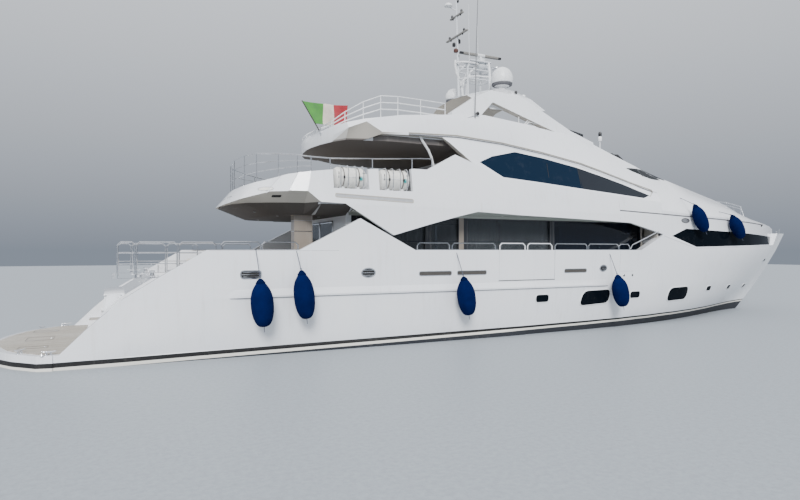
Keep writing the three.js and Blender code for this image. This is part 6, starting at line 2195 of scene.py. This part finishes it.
@dataclass
class ArchAndMast:
    """The radar arch with domes, aerials and lamps."""

    paints: Paints
    # Name, the place of its seat and the radius
    domes: Sequence[tuple[str, Point, float]] = (
        ("starboard", (-1.46, -1.0, 10.36), 0.48), ("port", (-2.70, 1.0, 9.96), 0.37),
    )
    # The scanner: its middle, and for each part its two ends, half width, half height and finish
    scanner_place: tuple[float, float, float] = (-1.9, 0.0, 11.925)
    scanner_parts: Sequence[tuple[float, float, float, float, str]] = (
        (-0.92, 0.92, 0.078, 0.060, "yard"), (-1.07, -0.90, 0.070, 0.052, "black"),
        (0.90, 1.07, 0.070, 0.052, "black"), (-0.20, 0.20, 0.085, 0.064, "plastic"),
    )
    spindle: Profile = ((0, 0), (0.09, 0), (0.09, 0.04), (0.06, 0.06), (0.06, 0.11), (0, 0.11))
    # The yards: height, the lamps' and the beam's distance from the middle line
    yards: Sequence[tuple[float, float, float]] = ((12.60, 0.60, 0.86), (13.48, 0.39, 0.52))
    yard_lamp: Profile = ((0, 0), (0.045, 0), (0.05, 0.03), (0.05, 0.10), (0.035, 0.13), (0, 0.14))
    yard_foot: Profile = ((0, 0), (0.03, 0), (0.03, 0.06), (0, 0.065))
    top_lamp: Profile = ((0, 0), (0.05, 0), (0.055, 0.04), (0.055, 0.13), (0.03, 0.16), (0, 0.17))
    # Lamps up the mast: along the boat, middle height, radius, height and finish
    mast_lamps: Sequence[tuple[float, float, float, float, str]] = (
        (-3.27, 12.21, 0.075, 0.17, "black"), (-3.02, 12.39, 0.075, 0.19, "black"),
        (-3.17, 11.97, 0.10, 0.16, "rust"), (-3.06, 11.75, 0.05, 0.14, "black"),
        (-3.10, 14.14, 0.07, 0.14, "black"),
    )
    small_dome: Profile = ((0, 0), (0.12, 0), (0.18, 0.03), (0.18, 0.08), (0.10, 0.15), (0, 0.165))
    horn: Profile = (
        (0.02, 0), (0.025, 0.20), (0.045, 0.32), (0.085, 0.40), (0.08, 0.40), (0.04, 0.32), (0.015, 0.2),
    )
    # Thin aerials: along the boat, from the middle line and their tops
    aerials: Sequence[tuple[float, float, float]] = ((-2.75, -0.42, 13.9), (-1.75, 0.42, 13.4))
    side_lamp: Profile = ((0, 0), (0.06, 0), (0.065, 0.05), (0.05, 0.12), (0, 0.13))
    mushroom: Profile = ((0, 0), (0.08, 0), (0.10, 0.03), (0.09, 0.08), (0.03, 0.12), (0, 0.12))
    # Bent tubes of the starboard half: radius, sides, then the middle line
    bends: Sequence[tuple[float, int, Sequence[Point]]] = (
        (0.038, 10,
         ((-2.96, -0.09, 10.45), (-2.93, -0.216, 10.66), (-2.75, -0.36, 10.80), (-2.30, -0.36, 10.88),
                     (-1.60, -0.36, 10.90))),
        (0.050, 12,
         ((-2.74, -0.16, 9.98), (-2.72, -0.16, 10.45), (-2.66, -0.16, 10.77), (-2.53, -0.16, 11.06),
                     (-2.35, -0.16, 11.27), (-2.18, -0.16, 11.38), (-2.0, -0.16, 11.44))),
        (0.048, 12, ((-1.66, -0.40, 10.38), (-1.66, -0.36, 11.2), (-1.66, -0.28, 11.55))),
    )
    stem: Sequence[Point] = (
        (-3.20, 0, 11.55), (-3.20, 0, 11.30), (-3.14, 0, 11.01), (-3.02, 0, 10.80), (-2.93, 0, 10.64),
        (-2.90, 0, 10.45), (-2.86, 0, 10.25), (-2.81, 0, 9.98),
    )
    bowl: Profile = (
        (0, 0), (0.12, 0.0), (0.26, 0.06), (0.35, 0.17), (0.36, 0.21), (0.22, 0.24), (0.20, 0.30),
        (0.20, 0.55),
        (0, 0.55),
    )
    slat_y: float = -2.50
    slat_x: Sequence[float] = (-3.2, -2.2, -1.2, -0.2)
    slat_post_x: Sequence[float] = (-3.15, -1.7, -0.25)

    def build(self) -> None:
        """Dresses the solids and adds domes, lamps and the scanner's bar."""
        dress("radar_arch", self.paints.arch)
        dress("mast", self.paints.mast)
        for word, place, radius in self.domes:
            self.dome(word, place, radius)
        self.scanner()
        self.mast_fittings()
        for side in SIDES:
            self.slats(side)

    def dome(self, word: str, place: Point, radius: float) -> None:
        """Turns one dome with its dark band and foot.

        Args:
            word: The side's name.
            place: The middle of its seat.
            radius: The dome's radius.
        """
        r, shape = radius, Shape(self.paints.plastic)
        foot = [(0, -0.14), (0.36 * r, -0.14), (0.42 * r, -0.02), (0.60 * r, 0.0), (0.70 * r, 0.02)]
        band = [(0.70 * r, 0.01), (0.88 * r, 0.035), (0.905 * r, 0.05), (0.915 * r, 0.12), (0.90 * r, 0.14)]
        shell = [(0.90 * r, 0.12), (0.955 * r, 0.14), (0.985 * r, 0.30 * r + 0.06)]
        top, crown, steps = 0.62 * r, 1.74 * r, 12
        for k in range(steps + 1):
            turn = 0.5 * math.pi * k / steps
            shell.append((r * 0.99 * math.cos(turn), top + (crown - top) * math.sin(turn)))
        shape.lathe(foot, place, sides=40)
        shape.lathe(band, place, sides=48, finish=self.paints.rubber)
        shape.lathe(shell, place, sides=56)
        shape.piece(f"dome_shell_{word}", slot="white_plastic", stands_for=(f"dome_{word}",))

    def scanner(self) -> None:
        """Builds the turning bar with its dark ends on its spindle."""
        x, y, z = self.scanner_place
        shape = Shape(self.paints.yard)

        def squared(part: float) -> float:
            """A sine or cosine drawn out towards a rounded square."""
            return math.copysign(abs(part) ** 0.6, part)

        for x0, x1, wide, tall, paint in self.scanner_parts:
            rings = []
            for share, size in ((0, 0.86), (0.06, 1.0), (0.94, 1.0), (1, 0.86)):
                at = x + x0 + (x1 - x0) * share
                rings.append([(at, y + size * wide * squared(math.cos(turn)),
                               z + size * tall * squared(math.sin(turn)))
                              for turn in turns(24)])
            shape.bridge(rings, getattr(self.paints, paint))
        shape.lathe(self.spindle, (x, y, z - 0.154), sides=32, finish=self.paints.plastic)
        shape.piece("scanner_bar", "radar_scanner", "white_plastic", stands_for=("radar_scanner",))

    def mast_fittings(self) -> None:
        """Hangs yards, lamps, horns and thin aerials on the mast and small fittings on the arch."""
        shape, black, plastic = Shape(self.paints.steel), self.paints.black, self.paints.plastic
        for z, lamp_y, half in self.yards:
            for y in (-lamp_y, lamp_y):
                shape.lathe(self.yard_lamp, (-3.13, y, z + 0.022), sides=18, finish=black)
                shape.lathe(self.yard_foot, (-3.13, y * 0.8, z - 0.022), (0, 0, -1), 14, black)
            shape.block((-3.18, -half, z - 0.03), (-3.08, half, z + 0.03), 0.012, self.paints.yard)
        shape.lathe(self.top_lamp, (-3.09, 0.06, 14.34), sides=20, finish=black)
        for x, z, half, tall, paint in self.mast_lamps:
            profile = [(0, 0), (0.8 * half, 0), (half, 0.03), (half, tall - 0.04), (0.6 * half, tall),
                       (0, tall)]
            shape.lathe(profile, (x, 0, z - tall / 2), sides=20, finish=getattr(self.paints, paint))
        shape.tube([(-3.14, 0, 13.72), (-3.52, 0, 13.79)], 0.022, 10, plastic)
        shape.lathe(self.small_dome, (-3.55, 0, 13.80), sides=28, finish=plastic)
        self.hoops(shape)
        for y in (-0.10, 0.10):
            shape.lathe(self.horn, (-1.55, y, 11.45), (1, 0, 0), 20)
        for x, y, top in self.aerials:
            shape.tube([(x, y * 0.8, 11.2), (x, y, 11.5), (x - 0.02, y, 12.6), (x - 0.04, y, top)],
                       [0.012, 0.012, 0.008, 0.004], 8, plastic)
        skin = Skin("radar_arch")
        for y in (-2.0, 2.0):
            shape.lathe(self.side_lamp, skin.above(-1.47, y), sides=20, finish=black)
            shape.lathe(self.mushroom, skin.above(-0.7, y * 0.75), sides=24, finish=plastic)
        shape.piece("mast_fittings", slot="white_plastic")

    def hoops(self, shape: Shape) -> None:
        """Bends the mast's thick hoop, its bowed legs and the scanner's bowl.

        Args:
            shape: The shape that takes them.
        """
        plastic = self.paints.plastic
        shape.hoop([(-2.60 + 0.60 * math.cos(turn), 0.36 * math.sin(turn), 11.43) for turn in turns(28)],
                   0.040, 10, plastic)
        for radius, sides, path in self.bends:
            for way in (1, -1):
                shape.tube([(x, way * y, z) for x, y, z in path], radius, sides, plastic)
        shape.tube(self.stem, 0.055, 12, plastic)
        shape.lathe(self.bowl, (-1.88, 0, 11.20), sides=36, finish=self.paints.mast)

    def slats(self, side: Side) -> None:
        """Lays the thin double slat and its small posts in the arch's opening.

        Args:
            side: The side of the boat.
        """
        skin, shape, y = Skin("hardtop"), Shape(self.paints.plastic), self.slat_y
        for rise in (0.20, 0.31):
            shape.tube([skin.above(x, y) + Vector((0, 0, rise)) for x in self.slat_x], 0.024, 8)
        for x in self.slat_post_x:
            foot = skin.above(x, y)
            shape.tube([foot, foot + Vector((0, 0, 0.33))], 0.018, 8)
        shape.on(side).piece(f"arch_slats_{side.word}", slot="white_plastic")


@dataclass
class Bow:
    """The foredeck with its windows, rails and ground tackle."""

    paints: Paints
    # Corners of x and z of the windscreen's dark end and of the groove
    screen_end: Sequence[Point] = (
        (4.28, 7.0), (4.8, 7.055), (5.3, 7.075), (5.9, 7.035), (6.3, 6.93), (6.6, 6.79), (6.85, 6.62),
        (6.3, 6.60), (5.9, 6.615), (5.4, 6.69), (4.85, 6.86),
    )
    groove_line: Sequence[Point] = ((2.65, 4.97), (3.86, 4.93), (6.88, 4.84), (10.54, 4.75), (15.04, 4.65))
    # The handrail: distance from the middle line, bar as x and z, and the two feet's places
    rail_y: float = 0.95
    rail_bar: Sequence[Point] = ((12.04, 5.885), (12.6, 5.88), (13.2, 5.85), (13.8, 5.77), (14.33, 5.68))
    rail_feet: tuple[float, float] = (11.7, 14.65)
    flange: Profile = ((0, 0), (0.035, 0), (0.03, 0.012), (0.014, 0.02))
    hatch_x: Sequence[float] = (9.6, 11.3)
    hatch: tuple[float, float, float, float] = (-0.3, 0.3, -0.35, 0.35)
    windlass: Profile = (
        (0, 0), (0.16, 0), (0.16, 0.05), (0.09, 0.08), (0.08, 0.18), (0.13, 0.22), (0.13, 0.26), (0, 0.27),
    )

    def build(self) -> None:
        """Dresses the solids and adds the fittings."""
        dress("foredeck_moulding", self.paints.white)
        dress("windscreen", self.paints.bow_glass)
        for side in SIDES:
            dress(f"bow_glass_{side.word}", self.paints.bow_glass)
            self.groove(side)
            self.rail(side)
            self.side_pane(side)
        self.top_fittings()

    def side_pane(self, side: Side) -> None:
        """Lays the windscreen's dark lens-shaped end on the roof's side.

        Args:
            side: The side of the boat.
        """
        shape, skin = Shape(self.paints.bow_glass), Skin("hardtop", "foredeck_moulding", "windscreen")
        inlay(shape, skin, self.screen_end, side, self.paints.bow_glass, proud=0.02)
        shape.piece(f"windscreen_end_{side.word}", slot="glazing")

    def groove(self, side: Side) -> None:
        """Lays the dark groove along the moulding, with its oval vent and a small dark light.

        Args:
            side: The side of the boat.
        """
        skin = Skin("foredeck_moulding", "upper_coaming", "upper_moulding", "upper_deckhouse")
        shape = Shape(self.paints.rubber)
        seamline(shape, skin, self.groove_line, side, 0.024)
        inlay(shape, skin, oval(6.90, 4.64, 0.30, 0.115, 26), side, self.paints.zinc, 0.035, 0.016)
        inlay(shape, skin, oval(14.74, 4.60, 0.10, 0.05, 16), side, self.paints.void, proud=0.03)
        shape.piece(f"foredeck_groove_{side.word}", slot="gelcoat")

    def rail(self, side: Side) -> None:
        """Stands the steel handrail along the foredeck.

        Args:
            side: The side of the boat.
        """
        skin, shape, y = Skin("foredeck_moulding"), Shape(self.paints.steel), side.value * self.rail_y
        top = [Vector((x, y, z)) for x, z in self.rail_bar]
        start, end = (skin.above(x, y) for x in self.rail_feet)
        shape.tube([start, *top, end], 0.022, 10)
        shape.tube([spot - Vector((0, 0, 0.14)) for spot in top], 0.014, 8)
        for spot in top:
            foot = skin.above(spot.x, y)
            shape.tube([foot, spot], 0.014, 8)
            shape.lathe(self.flange, foot, sides=14)
        shape.piece(f"foredeck_rail_{side.word}", slot="steel")

    def top_fittings(self) -> None:
        """Fits hatches, the windlass, cleats and the jack staff's stump at the bow."""
        moulding, hull, steel = Skin("foredeck_moulding"), Skin("hull"), self.paints.steel
        shape, up = Shape(self.paints.white), Vector((0, 0, 1))
        for x in self.hatch_x:
            seat = [moulding.above(x + dx, y) + 0.02 * up for dx, y in rounded(rectangle(*self.hatch), 0.08)]
            rim = [corner + 0.03 * up for corner in seat]
            shape.bridge([[corner - 0.05 * up for corner in seat], rim])
            middle = sum(rim, Vector()) / len(rim)
            pane = [middle + (corner - middle) * 0.86 + 0.004 * up for corner in rim]
            shape.bridge([[corner - 0.01 * up for corner in pane], pane], self.paints.bow_glass)
        for side in SIDES:
            cleat(shape, hull.above(18.1, side.value * 0.55), 0.42, -side.value * 25, steel)
        shape.lathe(self.windlass, hull.above(18.35, 0.0), sides=32, finish=steel)
        tip = hull.above(19.2, 0.0)
        shape.tube([tip, tip + Vector((0.04, 0, 0.30))], 0.022, 12, steel)
        shape.piece("bow_top_fittings", slot="gelcoat")


@dataclass
class Ensign:
    """The staff with its plain flag of three bands."""

    paints: Paints
    foot: tuple[float, float, float] = (-9.65, -1.2, 7.56)
    head: tuple[float, float, float] = (-10.42, -1.2, 8.77)
    staff_radii: Sequence[tuple[float, float]] = ((0, 0.021), (0.2, 0.022), (0.5, 0.020), (0.8, 0.018),
                                                  (0.97, 0.016))
    knob: Profile = ((0, 0), (0.02, 0.005), (0.024, 0.02), (0.018, 0.035), (0, 0.04))
    socket: Profile = ((0, 0), (0.06, 0), (0.055, 0.015), (0.03, 0.03), (0.028, 0.16), (0.02, 0.17))
    # Upper and lower corner of the cloth at the staff and at its free end, as x and z
    hoist: tuple[tuple[float, float], tuple[float, float]] = ((-10.385, 8.74), (-9.91, 7.95))
    fly: tuple[tuple[float, float], tuple[float, float]] = ((-8.63, 8.755), (-8.66, 7.965))
    flat: tuple[float, float] = (1.62, 0.82)
    thick: float = 0.0015
    columns: int = 90
    rows: int = 34

    def build(self) -> None:
        """Builds the staff and flies the flag from it."""
        staff = Shape(self.paints.staff)
        foot, head = Vector(self.foot), Vector(self.head)
        staff.tube([foot.lerp(head, share) for share, _ in self.staff_radii],
                   [radius for _, radius in self.staff_radii], 16)
        staff.lathe(self.knob, foot.lerp(head, 0.965), head - foot, 16)
        staff.lathe(self.socket, foot, head - foot, 20, self.paints.steel)
        staff.piece("ensign_staff_pole", slot="varnished_wood", stands_for=("ensign_staff",))
        self.flag()

    def flag(self) -> None:
        """Lays the cloth in soft standing waves between the hoist and the fly."""
        y, points = self.foot[1], []
        for row in range(self.rows + 1):
            drop = row / self.rows
            start, end = (Vector(top).lerp(Vector(low), drop) for top, low in (self.hoist, self.fly))
            for column in range(self.columns + 1):
                share = column / self.columns
                spot = start.lerp(end, share)
                sag = 0.035 * math.sin(math.pi * share) * (1 - drop)
                wave = 0.055 * share ** 0.6 * math.sin(9.5 * share - 2.4 * drop + 0.4)
                wave += 0.018 * share * math.sin(21 * share + 3.1 * drop)
                points.append((spot.x, y + wave, spot.y - sag))
        shape = Shape(self.paints.flag).add(points, grid(self.columns, self.rows))
        cloth = shape.piece("ensign_flag", slot="cushion", smooth_below=80)
        thick = cloth.modifiers.new("thick", "SOLIDIFY")
        thick.thickness = self.thick
        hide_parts("ensign_staff")


@dataclass(frozen=True)
class Hang:
    """How one fender hangs: its ends as x and z, and where its line is made fast."""

    head: tuple[float, float]
    foot: tuple[float, float]
    y: float
    radius: float
    # x and z on the bulwark's edge, or x and y on the foredeck
    line_end: tuple[float, float]
    on_deck: bool = False


@dataclass
class Fenders:
    """The six covered fenders on their lines."""

    paints: Paints
    hangs: Sequence[Hang] = (
        Hang((-12.59, 2.43), (-12.47, 0.96), -4.225, 0.345, (-12.62, 3.33)),
        Hang((-11.31, 2.67), (-11.13, 1.14), -4.225, 0.325, (-11.34, 3.33)),
        Hang((-5.38, 2.36), (-5.15, 0.97), -4.21, 0.33, (-5.42, 3.33)),
        Hang((2.06, 2.29), (2.40, 0.97), -4.11, 0.33, (2.02, 3.33)),
        Hang((7.13, 5.37), (7.88, 4.16), -3.73, 0.295, (7.15, -2.95), on_deck=True),
        Hang((10.25, 4.99), (11.00, 3.89), -3.33, 0.295, (10.2, -2.7), on_deck=True),
    )
    # Share of the length from the foot, and share of the radius
    form: Sequence[tuple[float, float]] = (
        (0.0, 0.0), (0.005, 0.22), (0.02, 0.42), (0.06, 0.60), (0.12, 0.75), (0.2, 0.87), (0.3, 0.96),
        (0.4, 0.99),
        (0.5, 1.0), (0.6, 0.97), (0.68, 0.90), (0.76, 0.78), (0.82, 0.64), (0.87, 0.50), (0.905, 0.39),
    )
    neck: Sequence[tuple[float, float]] = (
        (0.90, 0.39), (0.915, 0.41), (0.95, 0.30), (0.985, 0.18), (1.0, 0.10), (1.0, 0.0),
    )
    ribs: int = 12
    sides: int = 48
    knot: Profile = ((0, -0.03), (0.022, -0.02), (0.028, 0.0), (0.022, 0.02), (0, 0.03))

    def build(self) -> None:
        """Builds every fender with its line."""
        for number, hang in enumerate(self.hangs, 1):
            self.fender(number, hang)

    def fender(self, number: int, hang: Hang) -> None:
        """Builds one fender: the knitted cover, the dark blue neck, the line and the tail.

        Args:
            number: Its number from astern.
            hang: How it hangs.
        """
        foot, head = (Vector((x, hang.y, z)) for x, z in (hang.foot, hang.head))
        axis = head - foot
        heading = axis.normalized()
        across = heading.orthogonal().normalized()
        other = heading.cross(across)
        shape, rope = Shape(self.paints.fender), self.paints.rope

        def puckered(profile: Sequence[tuple[float, float]], deep: float, cover: Material) -> None:
            """Turns a profile whose skin puckers in soft lengthwise ribs."""
            rings = []
            for share, wide in profile:
                ring = []
                for turn in turns(self.sides):
                    spoke = across * math.cos(turn) + other * math.sin(turn)
                    seed = Vector((3 * math.cos(turn), 3 * math.sin(turn), 6 * share + number))
                    rib = 1 + deep * math.cos(self.ribs * turn) * (1 - wide) + 0.012 * noise.noise(seed)
                    ring.append(foot + axis * share + spoke * (max(wide, 0.004) * hang.radius * rib))
                rings.append(ring)
            shape.bridge(rings, cover)

        puckered(self.form, 0.05, self.paints.fender)
        puckered(self.neck, 0.10, self.paints.neck)
        if hang.on_deck:
            edge = Skin("foredeck_moulding").above(*hang.line_end) + Vector((0, 0, 0.01))
        else:
            x, z = hang.line_end
            edge = Vector((x, hang.y * 0.885, z))
        shape.tube([head - axis * 0.01, head + (edge - head) * 0.5, edge], 0.012, 8, rope)
        shape.lathe(self.knot, head + (edge - head).normalized() * 0.05, edge - head, 12, rope)
        shape.tube([foot + axis * 0.01, foot - heading * 0.16], 0.009, 8, rope)
        shape.piece(f"fender_cover_{number}", slot="fender_cover", stands_for=(f"fender_{number}",))


@dataclass
class Studio:
    """The floor at the waterline and the lights."""

    floor_paint: Colour = (0.30, 0.33, 0.36)
    horizon: Colour = (0.20, 0.23, 0.28)
    zenith: Colour = (1.15, 1.19, 1.25)
    sky_strength: float = 1.25
    sun_strength: float = 4.6
    sun_spread: float = 22.0
    sun_from: tuple[float, float, float] = (-0.34, -0.74, 0.58)
    floor_half: float = 120.0

    def build(self) -> None:
        """Lays the floor and hangs the lights."""
        self.floor()
        self.sky()
        self.sun()

    def floor(self) -> None:
        """Lays the floor at the waterline."""
        half = self.floor_half
        mesh = bpy.data.meshes.new("floor")
        mesh.from_pydata([(x, y, 0) for x, y in rectangle(-half, half, -half, half)], [], [(0, 1, 2, 3)])
        mesh.materials.append(Finish("studio_floor", self.floor_paint, 0.5).build())
        floor = bpy.data.objects.new("floor", mesh)
        bpy.context.scene.collection.objects.link(floor)

    def sky(self) -> None:
        """Spans an overcast sky that is brighter overhead."""
        world = bpy.data.worlds.new("sky")
        world.use_nodes = True
        background = world.node_tree.nodes["Background"]
        graph = Graph(world.node_tree)
        height = graph.split(graph.tree.nodes.new("ShaderNodeTexCoord").outputs["Generated"])[2]
        graph.feed(background.inputs["Color"],
                   graph.blend(graph.span(height, 0.0, 0.75), self.horizon, self.zenith))
        background.inputs["Strength"].default_value = self.sky_strength
        bpy.context.scene.world = world

    def sun(self) -> None:
        """Hangs a broad soft sun over the starboard quarter."""
        data = bpy.data.lights.new("sun", "SUN")
        data.energy = self.sun_strength
        data.angle = math.radians(self.sun_spread)
        sun = bpy.data.objects.new("sun", data)
        sun.rotation_mode = "QUATERNION"
        sun.rotation_quaternion = Vector(self.sun_from).to_track_quat("Z", "Y")
        bpy.context.scene.collection.objects.link(sun)


def main() -> None:
    """Builds the whole scene."""
    logging.basicConfig(level=logging.INFO, format="%(name)s: %(message)s")
    Viewpoint().build()
    Studio().build()
    paints = Paints()
    for part in (Hull, Stern, Underwater, MainDeck, UpperDeck, UpperHouse, Roof, ArchAndMast, Bow, Ensign,
                 Fenders):
        part(paints).build()
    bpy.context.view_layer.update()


if __name__ == "__main__":
    main()
